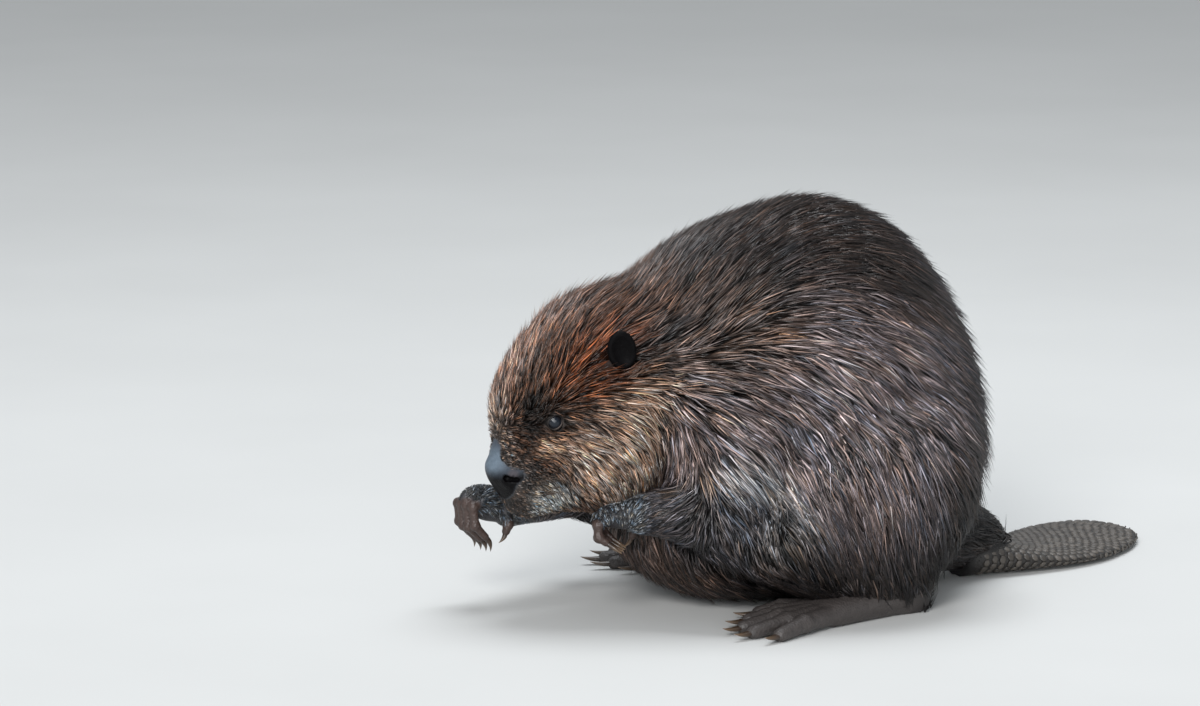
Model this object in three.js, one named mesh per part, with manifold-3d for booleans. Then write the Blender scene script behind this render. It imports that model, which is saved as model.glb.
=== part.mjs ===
// A North American beaver hunched on its haunches, feeding, with its forepaws held up before its chest.
// Millimetres, +Z up. It faces -X, its left side is towards -Y and the floor is the plane Z = 0. The
// solids are the outer shape of the coat: a smooth field of egg and limb shapes, turned into faceted
// meshes and parted with thin cuts. Digits, claws, webs and the tail's paddle are lofts.
import * as THREE from "three";
import { mergeVertices } from "three/addons/utils/BufferGeometryUtils.js";
import Module from "manifold-3d";

const wasm = await Module();
wasm.setup();

// ---------------------------------------------------------------- driving dimensions

const LEFT = -1;
const RIGHT = 1;
const SIDES = [
  ["left", LEFT],
  ["right", RIGHT],
];
const CUT = 0.35; // gap between neighbouring pieces
const PRESSED = 0.6; // how deep a resting paw or tail is pressed flat by the floor
const SUNK = 2; // the same for the heavy belly and rump
const degrees = THREE.MathUtils.degToRad;
const { lerp } = THREE.MathUtils;

const HEAD_PITCH = degrees(42); // the face points forward and down
const EYE_LINE = [-194.6, 0, 143.8]; // midway between the eyes

// Egg shapes of the trunk: centre and half sizes.
const CHEST = { at: [-45, 0, 158], r: [94, 90, 104] };
const HUMP = { at: [10, 0, 160], r: [113, 116, 126] };
const RUMP = { at: [34, 0, 112], r: [104, 126, 112 + SUNK] };
const BELLY = { at: [-42, 0, 68], r: [100, 96, 68 + SUNK] };
const NECK = { from: [-60, 0, 176], to: [-133.8, 0, 169], rFrom: 80, rTo: 60 };
const STALK = { from: [88, 0, 48], to: [150, 10, 25], rFrom: 48, rTo: 22 };
const TRUNK_BLEND = 30;
const STALK_BLEND = 22;

const THIGH = { at: [18, 90, 88], r: [86, 47, 84] };
const SHANK = { knee: [-50, 96, 64], rKnee: 38, rHeel: 17 };
const LEG_BLEND = 18;

const HEEL = [50, 90, 13];
const FOOT_SPLAY = degrees(12);
const SOLE = { length: 74, rHeel: 13.5, rFront: 9 };
const TOE = {
  reach: [104, 124, 140, 144, 134], // heel to tip, inner toe first
  tipAcross: [-33, -17, 0, 17, 35],
  rootAcross: [-14, -7, 0, 8, 15],
  rRoot: 7.5,
  rTip: 5,
};
const WEB = { thick: 3.4, underside: 0.8, drawnBack: 0.24, tipShare: 0.93 };

// Joints of each foreleg. The left paw grips by the chin and the right one reaches past the nose.
const ARM = {
  [LEFT]: {
    shoulder: [-80, -56, 134],
    elbow: [-90, -86, 80],
    wrist: [-139, -61, 77],
    knuckles: [-161, -48, 75],
    bones: [9, 10, 7],
  },
  [RIGHT]: {
    shoulder: [-84, 56, 134],
    elbow: [-120, 80, 74],
    wrist: [-198, 46, 67],
    knuckles: [-228, 39, 76],
    bones: [10, 15, 12],
  },
};
const UPPER_ARM = { rShoulder: 44, rElbow: 27, blend: 30 };
const FOREARM = { rElbow: 24, rWrist: 13, blend: 16 };
const PALM = { halfWidth: 12.5, rCuff: 8, thick: 8.5, beyond: 8 }; // beyond the wrist and knuckles
const FINGER = { spacing: 6.2, rRoot: 4, rTip: 3 };
const THUMB = { rRoot: 3.9, rTip: 2.9, length: 14 };

const TAIL = {
  start: [132, 6],
  length: 212,
  halfWidth: 48,
  rootShare: 0.42, // of the full width
  widestAt: 0.55, // shares of the length
  roundedFrom: 0.62,
  bulgeTo: 0.22,
  thickRoot: 30,
  thickMiddle: 15,
  thickTip: 7,
  heading: degrees(10), // away from straight back, towards the right side
  curl: degrees(54), // further turn by the tip
};

const FORE_CLAW = { length: 11, radius: 2.0, flat: 1.1, droop: 0.5, down: [0.8, 0, -0.6] };
const HIND_CLAW = { length: 14, radius: 3.2, flat: 0.62, droop: 0.2, down: [0, 0, -1] };

// Shapes of the head in its own axes; those with a second side are mirrored.
const CRANIUM = { at: [-42, 0, -2], r: [62, 55, 44] };
const BROW = { at: [-12, 0, 2], r: [44, 40, 33] };
const CHEEK = { at: [-35, 26, -32], r: [47, 33, 40] };
const THROAT = { at: [-22, 12, -62], r: [44, 34, 33] };
const MUZZLE = { from: [5, 0, -12], to: [34, 0, -14], rFrom: 31, rTo: 19.5 };
const JAW = { from: [4, 0, -54], to: [44, 0, -38], rFrom: 30, rTo: 18 };
const LIP = { at: [31, 13, -31], r: [24, 16, 21] };
const NOSE = { at: [48, 0, -17], pad: [9.5, 14.5, 16], r: [14, 18, 18.5] }; // r is where it parts
const HEAD_BLEND = { skull: 20, jaws: 16, lip: 8, nose: 6, neck: 24 };
const EYE = { at: [1, 35, 0], radius: 6.8, hollow: [2, 50, 1], hollowRadii: [12.5, 12, 10] };
const EAR = {
  at: [-64, 59, 10],
  r: [10.5, 6.5, 16.5],
  lean: [-0.35, 0.35, 0.9],
  scoop: [7.5, 4.5, 12],
  scoopOut: 6,
  scoopUp: 2,
};

// Size of the net's cells on each part: finer where the shape is smaller.
const STEP = { head: 17, nose: 9, neck: 22, trunk: 35, tailRoot: 15, foreleg: 18, hindLeg: 26 };

const COLOURS = {
  fur: 0x5e4a40,
  head: 0x7a5844,
  paw: 0x3d3a3c,
  tail: 0x35322f,
  nose: 0x3c4046,
  eye: 0x0c0d10,
  claw: 0x4a3a2c,
  ear: 0x161414,
};

// ---------------------------------------------------------------- vectors as lists of three numbers

const add = (a, b, s = 1) => [a[0] + b[0] * s, a[1] + b[1] * s, a[2] + b[2] * s];
const sub = (a, b) => add(a, b, -1);
const mix = (a, b, t) => add(a, sub(b, a), t);
const dot = (a, b) => a[0] * b[0] + a[1] * b[1] + a[2] * b[2];
const unit = (a) => add([0, 0, 0], a, 1 / Math.hypot(...a));
const minus = (a) => add([0, 0, 0], a, -1);
const cross = (a, b) => [
  a[1] * b[2] - a[2] * b[1],
  a[2] * b[0] - a[0] * b[2],
  a[0] * b[1] - a[1] * b[0],
];
const sided = (a, side) => [a[0], a[1] * side, a[2]];
const UP = [0, 0, 1];
const DOWN = [0, 0, -1];

// ---------------------------------------------------------------- field shapes

const blend = (a, b, k) => {
  const h = Math.max(k - Math.abs(a - b), 0) / k;
  return Math.min(a, b) - (h * h * k) / 4;
};

// Distance to an egg, close enough near its surface.
function egg(p, at, r) {
  const q = sub(p, at);
  const k0 = Math.hypot(q[0] / r[0], q[1] / r[1], q[2] / r[2]);
  const k1 = Math.hypot(q[0] / r[0] ** 2, q[1] / r[1] ** 2, q[2] / r[2] ** 2);
  return (k0 * (k0 - 1)) / (k1 + 1e-9);
}

// Distance to a tapering limb with round ends.
function limb(p, a, b, ra, rb) {
  const ab = sub(b, a);
  const t = Math.min(Math.max(dot(sub(p, a), ab) / dot(ab, ab), 0), 1);
  return Math.hypot(...sub(p, add(a, ab, t))) - (ra + (rb - ra) * t);
}

// ---------------------------------------------------------------- head

// The head's own axes: forward to the nose, across to its right, up through the crown.
const FORWARD = [-Math.cos(HEAD_PITCH), 0, -Math.sin(HEAD_PITCH)];
const CROWN = [-Math.sin(HEAD_PITCH), 0, Math.cos(HEAD_PITCH)];
const inHead = (p) => {
  const q = sub(p, EYE_LINE);
  return [dot(q, FORWARD), q[1], dot(q, CROWN)];
};
const fromHead = ([forward, across, up]) =>
  add(add(add(EYE_LINE, FORWARD, forward), [0, across, 0]), CROWN, up);

function headField(p) {
  const q = inHead(p);
  const half = [q[0], Math.abs(q[1]), q[2]]; // both halves are alike
  const { skull, jaws, lip, nose } = HEAD_BLEND;
  let d = blend(egg(q, CRANIUM.at, CRANIUM.r), egg(q, BROW.at, BROW.r), skull);
  d = blend(d, egg(half, CHEEK.at, CHEEK.r), skull);
  d = blend(d, egg(half, THROAT.at, THROAT.r), skull);
  d = blend(d, limb(q, MUZZLE.from, MUZZLE.to, MUZZLE.rFrom, MUZZLE.rTo), jaws);
  d = blend(d, limb(q, JAW.from, JAW.to, JAW.rFrom, JAW.rTo), jaws);
  d = blend(d, egg(half, LIP.at, LIP.r), lip);
  return blend(d, egg(q, NOSE.at, NOSE.pad), nose);
}

// ---------------------------------------------------------------- the coat's outer surface

function trunkField(p) {
  let d = egg(p, CHEST.at, CHEST.r);
  d = blend(d, egg(p, HUMP.at, HUMP.r), TRUNK_BLEND);
  d = blend(d, egg(p, RUMP.at, RUMP.r), TRUNK_BLEND);
  d = blend(d, egg(p, BELLY.at, BELLY.r), TRUNK_BLEND);
  d = blend(d, limb(p, NECK.from, NECK.to, NECK.rFrom, NECK.rTo), TRUNK_BLEND);
  d = blend(d, limb(p, STALK.from, STALK.to, STALK.rFrom, STALK.rTo), STALK_BLEND);
  for (const side of [LEFT, RIGHT]) {
    const { shoulder, elbow } = ARM[side];
    d = blend(d, egg(p, sided(THIGH.at, side), THIGH.r), LEG_BLEND);
    d = blend(d, limb(p, sided(SHANK.knee, side), sided(HEEL, side), SHANK.rKnee, SHANK.rHeel), LEG_BLEND);
    d = blend(d, limb(p, shoulder, elbow, UPPER_ARM.rShoulder, UPPER_ARM.rElbow), UPPER_ARM.blend);
  }
  return d;
}

const bodyField = (p) => blend(trunkField(p), headField(p), HEAD_BLEND.neck);

const armField = (p, side) => {
  const { elbow, wrist } = ARM[side];
  return blend(trunkField(p), limb(p, elbow, wrist, FOREARM.rElbow, FOREARM.rWrist), FOREARM.blend);
};

// ---------------------------------------------------------------- meshes from a field

// Surface nets over the box lo..hi, with each corner then moved onto the field's surface.
function netOf(field, lo, hi, step) {
  const n = [0, 1, 2].map((k) => Math.ceil((hi[k] - lo[k]) / step) + 1);
  const at = ([i, j, k]) => (i * n[1] + j) * n[2] + k;
  const place = (c) => [0, 1, 2].map((k) => lo[k] + c[k] * step);
  const stepped = (c, axis, by) => c.map((x, k) => (k === axis ? x + by : x));
  const everyCell = function* (from, to) {
    for (let i = from; i < n[0] - to; i++)
      for (let j = from; j < n[1] - to; j++) for (let k = from; k < n[2] - to; k++) yield [i, j, k];
  };

  const value = new Float64Array(n[0] * n[1] * n[2]);
  for (const c of everyCell(0, 0)) {
    const rim = c.some((x, k) => x === 0 || x === n[k] - 1);
    value[at(c)] = rim ? 1 : field(place(c));
  }

  const corner = new Map();
  const points = [];
  for (const c of everyCell(0, 1)) {
    let sum = [0, 0, 0];
    let crossings = 0;
    for (let bits = 0; bits < 8; bits++) {
      const a = c.map((x, k) => x + ((bits >> k) & 1));
      for (let axis = 0; axis < 3; axis++) {
        const b = stepped(a, axis, 1);
        const [va, vb] = [value[at(a)], value[at(b)]];
        if ((bits >> axis) & 1 || va < 0 === vb < 0) continue;
        sum = add(sum, mix(place(a), place(b), va / (va - vb)));
        crossings++;
      }
    }
    if (!crossings) continue;
    corner.set(at(c), points.length);
    points.push(onSurface(sum.map((x) => x / crossings), field, step));
  }

  const index = [];
  for (const c of everyCell(0, 1))
    for (let axis = 0; axis < 3; axis++) {
      const inside = value[at(c)] < 0;
      const [u, w] = [(axis + 1) % 3, (axis + 2) % 3];
      if (c[u] * c[w] === 0 || inside === value[at(stepped(c, axis, 1))] < 0) continue;
      const ring = [
        [-1, -1],
        [0, -1],
        [0, 0],
        [-1, 0],
      ].map(([du, dw]) => corner.get(at(stepped(stepped(c, u, du), w, dw))));
      if (!inside) ring.reverse();
      index.push(ring[0], ring[1], ring[2], ring[0], ring[2], ring[3]);
    }
  return new THREE.BufferGeometry()
    .setAttribute("position", new THREE.Float32BufferAttribute(points.flat(), 3))
    .setIndex(index);
}

// A point moved along the field's slope until it lies on the surface.
function onSurface(p, field, step) {
  const h = step * 0.05;
  for (let round = 0; round < 3; round++) {
    const slope = [0, 1, 2].map((k) => {
      const e = [0, 1, 2].map((axis) => (axis === k ? h : 0));
      return (field(add(p, e)) - field(sub(p, e))) / (2 * h);
    });
    const move = (-0.9 * field(p)) / (dot(slope, slope) + 1e-9);
    p = add(p, slope, Math.min(Math.max(move, -step / 2), step / 2));
  }
  return p;
}

// ---------------------------------------------------------------- lofts

// A closed skin over elliptical rings. Each ring has a centre, two half axes and their directions, with
// across x up pointing along the loft, and the first and last rings shrink to points.
function loft(rings, sides) {
  const position = [];
  const index = [];
  for (const { at, across, up, wide, high } of rings)
    for (let j = 0; j < sides; j++) {
      const turn = (2 * Math.PI * j) / sides;
      position.push(...add(add(at, across, wide * Math.cos(turn)), up, high * Math.sin(turn)));
    }
  for (let i = 0; i + 1 < rings.length; i++)
    for (let j = 0; j < sides; j++) {
      const [a, b] = [i * sides + j, i * sides + ((j + 1) % sides)];
      if (i > 0) index.push(a, b, a + sides);
      if (i + 2 < rings.length) index.push(b, b + sides, a + sides);
      else if (i === 0) index.push(b, b + sides, a + sides);
    }
  return new THREE.BufferGeometry()
    .setAttribute("position", new THREE.Float32BufferAttribute(position, 3))
    .setIndex(index);
}

// A round-ended limb through the joints, tapering from rRoot to rTip. Its rings face their neighbours.
function tube(joints, rRoot, rTip, { sides = 5, steps = 1, grow = 0 } = {}) {
  const curve = new THREE.CatmullRomCurve3(joints.map((p) => new THREE.Vector3(...p)));
  const count = (joints.length - 1) * steps;
  const ringAt = (t, lean) => {
    const along = curve.getTangent(t).toArray();
    const side = unit(cross(Math.abs(along[2]) > 0.9 ? [-1, 0, 0] : UP, along));
    const radius = rRoot + (rTip - rRoot) * t + grow;
    return {
      at: add(curve.getPoint(t).toArray(), along, radius * Math.sin(lean)),
      across: side,
      up: unit(cross(along, side)),
      wide: radius * Math.cos(lean),
      high: radius * Math.cos(lean),
    };
  };
  const rings = [ringAt(0, -Math.PI / 2), ringAt(0, -Math.PI / 4)];
  for (let i = 0; i <= count; i++) rings.push(ringAt(i / count, 0));
  rings.push(ringAt(1, Math.PI / 4), ringAt(1, Math.PI / 2));
  return solid(loft(rings, sides));
}

// ---------------------------------------------------------------- solids: joining and cutting

function solid(geometry) {
  const bare = geometry.index ? geometry.toNonIndexed() : geometry.clone();
  bare.deleteAttribute("normal");
  bare.deleteAttribute("uv");
  const merged = mergeVertices(bare, 1e-4);
  return new wasm.Manifold(
    new wasm.Mesh({
      numProp: 3,
      vertProperties: merged.attributes.position.array,
      triVerts: new Uint32Array(merged.index.array),
    }),
  );
}

function geometryOf(made) {
  const { vertProperties, triVerts, numProp } = made.getMesh();
  const position = [];
  for (let i = 0; i < vertProperties.length; i += numProp) position.push(...vertProperties.slice(i, i + 3));
  return new THREE.BufferGeometry()
    .setAttribute("position", new THREE.Float32BufferAttribute(position, 3))
    .setIndex(new THREE.BufferAttribute(triVerts, 1));
}

const joined = (solids) => solids.reduce((a, b) => a.add(b));
const without = (made, cutters) => cutters.reduce((a, b) => a.subtract(b), made);
const largest = (made) => made.decompose().reduce((a, b) => (b.volume() > a.volume() ? b : a));

const turnOf = (from, to) =>
  new THREE.Quaternion().setFromUnitVectors(new THREE.Vector3(...from), new THREE.Vector3(...unit(to)));

// The half space behind the plane through at, whose normal points out of it.
function behind(at, normal, gap = 0) {
  const size = 800;
  const centre = add(at, unit(normal), gap - size / 2);
  return solid(
    new THREE.BoxGeometry(size, size, size).applyQuaternion(turnOf(UP, normal)).translate(...centre),
  );
}

function eggSolid(at, r, grow = 0, turn = new THREE.Quaternion(), detail = [10, 7]) {
  return solid(
    new THREE.SphereGeometry(1, ...detail)
      .scale(...r.map((x) => x + grow))
      .applyQuaternion(turn)
      .translate(...at),
  );
}

// The box from lo to hi on the right side, or its mirror image on the left.
const boxOn = (side, lo, hi) =>
  side === RIGHT
    ? [lo, hi]
    : [
        [lo[0], -hi[1], lo[2]],
        [hi[0], -lo[1], hi[2]],
      ];

const aboveFloor = (made) => made.intersect(behind([0, 0, 0], DOWN));
const bodyPart = (lo, hi, step, field = bodyField) => aboveFloor(solid(netOf(field, lo, hi, step)));

// ---------------------------------------------------------------- nodes

const beaver = new THREE.Group();
const finish = (color, roughness = 0.8) => new THREE.MeshStandardMaterial({ color, roughness, metalness: 0 });

function addPiece(name, made, material) {
  const mesh = new THREE.Mesh(geometryOf(largest(made)), material);
  mesh.name = name;
  beaver.add(mesh);
}

// ---------------------------------------------------------------- claws

// A claw's rings run from its root, along forward, and sag towards down.
function claw(root, forward, { length, radius, flat, droop, down }) {
  const along = unit(forward);
  const across = unit(cross(along, down));
  const under = unit(cross(along, across));
  const steps = 2;
  const rings = [];
  for (let i = -1; i <= steps; i++) {
    const t = Math.max(i, 0) / steps;
    const taper = i < 0 || i === steps ? 0 : Math.sqrt(1 - t) * radius;
    const at = add(add(root, along, t * length), under, droop * length * t * t);
    rings.push({ at, across, up: under, wide: taper, high: taper * flat });
  }
  return solid(loft(rings, 5));
}

function addClaws(name, rows, shape) {
  rows.forEach(({ root, forward }, i) => {
    addPiece(`${name}_${i + 1}`, claw(root, forward, shape), finish(COLOURS.claw, 0.45));
  });
}

// ---------------------------------------------------------------- forepaws

// Each finger's joints from knuckle to tip, curled down and back as round a stick, inner finger first.
function fingersOf(side) {
  const { wrist, knuckles, bones } = ARM[side];
  const along = unit(sub(knuckles, wrist));
  const across = unit(cross(UP, along)).map((x) => x * -side); // towards the outer side
  const long = [0.88, 1, 1, 0.86];
  const fingers = long.map((share, i) => {
    const out = (i - 1.5) * FINGER.spacing;
    const a = add(add(knuckles, across, out), along, -3);
    const b = add(add(a, along, bones[0] * share), DOWN, 0.45 * bones[0]);
    const c = add(add(add(b, DOWN, bones[1] * share), along, -0.1 * bones[1]), across, 0.08 * out);
    const d = add(add(c, DOWN, 0.55 * bones[2]), along, -0.85 * bones[2] * share);
    return [a, b, c, d];
  });
  const root = add(add(mix(wrist, knuckles, 0.3), across, -PALM.halfWidth * 0.85), DOWN, 3);
  const bend = add(add(root, DOWN, THUMB.length * 0.6), across, -3);
  return [[root, bend, add(add(bend, DOWN, THUMB.length * 0.4), along, 2)], ...fingers];
}

function forepaw(side, grow = 0) {
  const { elbow, wrist, knuckles } = ARM[side];
  const along = unit(sub(knuckles, wrist));
  const palmTurn = turnOf([1, 0, 0], along);
  const radii = [Math.hypot(...sub(knuckles, wrist)) / 2 + PALM.beyond, PALM.halfWidth, PALM.thick];
  const palm = eggSolid(mix(wrist, knuckles, 0.55), radii, grow, palmTurn, [8, 6]);
  const cuffJoints = [mix(wrist, elbow, 0.3), wrist, mix(wrist, knuckles, 0.5)];
  const cuff = tube(cuffJoints, FOREARM.rWrist, PALM.rCuff, { sides: 8, grow });
  const digits = fingersOf(side).map((joints, i) => {
    const digit = i === 0 ? THUMB : FINGER;
    return tube(joints, digit.rRoot, digit.rTip, { grow });
  });
  return joined([palm, cuff, ...digits]);
}

const foreClaws = (side) =>
  fingersOf(side).map((joints) => {
    const [before, tip] = joints.slice(-2);
    const forward = unit(sub(tip, before));
    return { root: add(tip, forward, FINGER.rTip + CUT), forward };
  });

// ---------------------------------------------------------------- hind feet

function toesOf(side) {
  const forward = [-Math.cos(FOOT_SPLAY), side * Math.sin(FOOT_SPLAY), 0];
  const across = [Math.sin(FOOT_SPLAY), side * Math.cos(FOOT_SPLAY), 0];
  const from = sided(HEEL, side);
  return TOE.reach.map((reach, i) => {
    const root = add(add(from, forward, SOLE.length), across, TOE.rootAcross[i]);
    const tip = add(add(from, forward, reach), across, TOE.tipAcross[i]);
    root[2] = SOLE.rFront - PRESSED;
    tip[2] = TOE.rTip - PRESSED;
    const middle = add(mix(root, tip, 0.55), UP, 1.6);
    return { root, middle, tip, forward: unit(sub(tip, root)) };
  });
}

// The web between the toes, drawn back between each two tips.
function web(row, grow) {
  const flat = (p) => new THREE.Vector2(p[0], p[1]);
  const outline = new THREE.Shape();
  const edges = row.map(({ root, tip }) => flat(mix(root, tip, WEB.tipShare)));
  outline.moveTo(...flat(row[0].root));
  outline.lineTo(...edges[0]);
  for (let i = 1; i < edges.length; i++) {
    const between = edges[i - 1].clone().lerp(edges[i], 0.5);
    const inner = flat(row[2].root);
    const drawn = between.lerp(inner, WEB.drawnBack * 2);
    outline.quadraticCurveTo(...drawn, ...edges[i]);
  }
  outline.lineTo(...flat(row.at(-1).root));
  const plate = new THREE.ExtrudeGeometry(outline, {
    depth: WEB.thick + 2 * grow,
    bevelEnabled: false,
    curveSegments: 3,
  });
  return solid(plate.translate(0, 0, WEB.underside - grow));
}

// The sole widens from the heel to the roots of the toes.
function soleOf(row, heel, grow) {
  const along = unit(sub(row[2].root, heel));
  const across = unit(cross(UP, along));
  const up = cross(along, across);
  const front = Math.abs(dot(sub(row.at(-1).root, row[0].root), across)) / 2 + SOLE.rFront;
  const stations = [
    [-SOLE.rHeel, 0, 0],
    [-SOLE.rHeel * 0.7, 0.7 * SOLE.rHeel, 0.7 * SOLE.rHeel],
    [0, SOLE.rHeel, SOLE.rHeel],
    [SOLE.length, front, SOLE.rFront],
    [SOLE.length + SOLE.rFront * 0.7, front * 0.8, SOLE.rFront * 0.7],
    [SOLE.length + SOLE.rFront, 0, 0],
  ];
  return solid(
    loft(
      stations.map(([reach, wide, high]) => ({
        at: add(heel, along, reach + Math.sign(reach - 1) * (high ? 0 : grow)),
        across,
        up,
        wide: wide && wide + grow,
        high: high && high + grow,
      })),
      9,
    ),
  );
}

function hindFoot(side, grow = 0) {
  const row = toesOf(side);
  const heel = sided(HEEL, side);
  const sole = soleOf(row, heel, grow);
  const digits = row.map(({ root, middle, tip }) => tube([root, middle, tip], TOE.rRoot, TOE.rTip, { grow }));
  return aboveFloor(joined([sole, ...digits, web(row, grow)]));
}

const hindClaws = (side) =>
  toesOf(side).map(({ tip, forward }) => ({ root: add(tip, forward, TOE.rTip + CUT), forward }));

// ---------------------------------------------------------------- tail

// The paddle lies on the floor and curls towards the right side. Its rings run from root to tip.
function paddle(grow = 0) {
  const steps = 12;
  const rings = [];
  let [x, y] = TAIL.start;
  for (let i = 0; i <= steps; i++) {
    const t = i / steps;
    const heading = TAIL.heading + TAIL.curl * t;
    const along = [Math.cos(heading), Math.sin(heading), 0];
    const widening = Math.sin(Math.min(t / TAIL.widestAt, 1) * (Math.PI / 2)) ** 1.6;
    const spread = lerp(TAIL.rootShare, 1, widening);
    const past = Math.max((t - TAIL.roundedFrom) / (1 - TAIL.roundedFrom), 0);
    const round = Math.sqrt(Math.max(1 - past ** 2.4, 0));
    const bulge = Math.exp(-((t / TAIL.bulgeTo) ** 2));
    const thick = lerp(lerp(TAIL.thickMiddle, TAIL.thickTip, t), TAIL.thickRoot, bulge);
    const closed = i === 0 || i === steps;
    rings.push({
      at: [x, y, thick / 2 - PRESSED],
      across: cross(UP, along),
      up: UP,
      wide: closed ? 0 : TAIL.halfWidth * spread * round + grow,
      high: closed ? 0 : (thick / 2) * Math.sqrt(Math.min(round + 0.25, 1)) + grow,
    });
    x += (along[0] * TAIL.length) / steps;
    y += (along[1] * TAIL.length) / steps;
  }
  return aboveFloor(solid(loft(rings, 12)));
}

// ---------------------------------------------------------------- cutters of the body's parts

const HEAD_CUT = { at: [-124, 0, 167], normal: [-0.97, 0, -0.24] };
const NECK_CUT = { at: [-92, 0, 180], normal: [-0.95, 0, 0.3] };
const CHIN_CUT = { at: [-108, 0, 86], normal: [0.385, 0, -0.923] };
const STALK_CUT = { at: [146, 6, 20], r: [44, 54, 46] };
const FOOT_ROOM = { at: [-10, 104, 6], r: [97.5, 51.5, 29.5] }; // clear of the belly
const THIGH_CUT = { at: [14, 112, 80], r: [98, 58, 88] };
const UPPER_ARM_CUT = { outward: 16, r: [42, 36, 54] };
const FOREARM_CUT = { beyond: 20, r: [24, 25] };

const stalkCutter = (grow) => eggSolid(STALK_CUT.at, STALK_CUT.r, grow);
const thighCutter = (side, grow) => eggSolid(sided(THIGH_CUT.at, side), THIGH_CUT.r, grow);

const footEnvelope = (side) => eggSolid(sided(FOOT_ROOM.at, side), FOOT_ROOM.r);

function upperArmCutter(side, grow) {
  const { shoulder, elbow } = ARM[side];
  const centre = add(mix(shoulder, elbow, 0.45), [0, side * UPPER_ARM_CUT.outward, 0]);
  return eggSolid(centre, UPPER_ARM_CUT.r, grow, turnOf(UP, sub(shoulder, elbow)));
}

function forearmCutter(side, grow) {
  const { elbow, wrist } = ARM[side];
  const long = Math.hypot(...sub(wrist, elbow)) / 2 + FOREARM_CUT.beyond;
  const turn = turnOf([1, 0, 0], sub(elbow, wrist));
  return eggSolid(mix(elbow, wrist, 0.5), [long, ...FOREARM_CUT.r], grow, turn);
}

// ---------------------------------------------------------------- head, eyes, nose and ears

const NOSE_TURN = turnOf([1, 0, 0], FORWARD);
const eyeball = (side, grow = 0) =>
  eggSolid(fromHead(sided(EYE.at, side)), [EYE.radius, EYE.radius, EYE.radius], grow, NOSE_TURN, [10, 7]);
const eyeHollow = (side) =>
  eggSolid(fromHead(sided(EYE.hollow, side)), EYE.hollowRadii, 0, NOSE_TURN, [10, 8]);
const noseCutter = (grow) => eggSolid(fromHead(NOSE.at), NOSE.r, grow, NOSE_TURN);

// An ear's shell, leaning out and back, with its hollow facing outwards and forwards.
function ear(side, grow = 0) {
  const at = fromHead(sided(EAR.at, side));
  const turn = turnOf(UP, sided(EAR.lean, side));
  return eggSolid(at, EAR.r, grow, turn, [10, 7]);
}

function earScoop(side) {
  const outward = unit([-0.25, side, 0]);
  const at = add(add(fromHead(sided(EAR.at, side)), outward, EAR.scoopOut), UP, EAR.scoopUp);
  return eggSolid(at, EAR.scoop, 0, turnOf(UP, sided(EAR.lean, side)), [8, 5]);
}

function addHead(armCutters) {
  const inFront = behind(HEAD_CUT.at, minus(HEAD_CUT.normal));
  const aboveChin = behind(CHIN_CUT.at, CHIN_CUT.normal);
  const whole = bodyPart([-252, -84, 30], [-90, 84, 262], STEP.head).intersect(inFront).intersect(aboveChin);
  const cutters = [noseCutter(CUT), ...armCutters];
  for (const [name, side] of SIDES) {
    cutters.push(eyeHollow(side), eyeball(side, CUT), ear(side, CUT));
    addPiece(`eye_${name}`, eyeball(side), finish(COLOURS.eye, 0.05));
    addPiece(`ear_${name}`, ear(side).subtract(earScoop(side)), finish(COLOURS.ear));
  }
  addPiece("head", without(whole, cutters), finish(COLOURS.head));
  const snout = bodyPart([-256, -32, 70], [-196, 32, 140], STEP.nose);
  addPiece("nose", snout.intersect(noseCutter(0)), finish(COLOURS.nose, 0.45));
}

// ---------------------------------------------------------------- neck, trunk and legs

function addTrunk(limbCutters) {
  const fur = finish(COLOURS.fur);
  const behindHead = behind(HEAD_CUT.at, HEAD_CUT.normal, -CUT);
  const underChin = behind(CHIN_CUT.at, minus(CHIN_CUT.normal), -CUT);
  const beforeNeckCut = behind(NECK_CUT.at, minus(NECK_CUT.normal));
  const afterNeckCut = behind(NECK_CUT.at, NECK_CUT.normal, -CUT);

  const front = bodyPart([-170, -110, 70], [-40, 110, 280], STEP.neck);
  addPiece("neck", without(front.intersect(behindHead).intersect(beforeNeckCut), limbCutters), fur);

  const whole = bodyPart([-190, -170, -40], [190, 170, 320], STEP.trunk);
  const nearHead = behindHead.add(underChin);
  const trunk = whole.intersect(nearHead).intersect(afterNeckCut);
  addPiece("trunk", without(trunk, [stalkCutter(CUT), ...limbCutters]), fur);

  const rear = bodyPart([90, -60, -40], [190, 70, 80], STEP.tailRoot).intersect(stalkCutter(0));
  addPiece("tail_root", without(rear, [paddle(CUT), ...limbCutters]), fur);
  addPiece("tail", paddle(), finish(COLOURS.tail, 0.6));
}

function addForeleg(name, side) {
  const fur = finish(COLOURS.fur);
  const box = boxOn(side, [-215, 10, 30], [-30, 140, 200]);
  const arm = bodyPart(...box, STEP.foreleg, (p) => armField(p, side));
  const forearm = arm.intersect(forearmCutter(side, 0));
  const upper = arm.intersect(upperArmCutter(side, 0));
  const inFront = behind(HEAD_CUT.at, HEAD_CUT.normal, -CUT);
  const leg = thighCutter(side, CUT);
  addPiece(`upper_arm_${name}`, without(upper.intersect(inFront), [forearmCutter(side, CUT), leg]), fur);
  addPiece(`forearm_${name}`, without(forearm, [forepaw(side, CUT), leg]), fur);
  addPiece(`forepaw_${name}`, forepaw(side), finish(COLOURS.paw));
  addClaws(`claw_fore_${name}`, foreClaws(side), FORE_CLAW);
}

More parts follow.
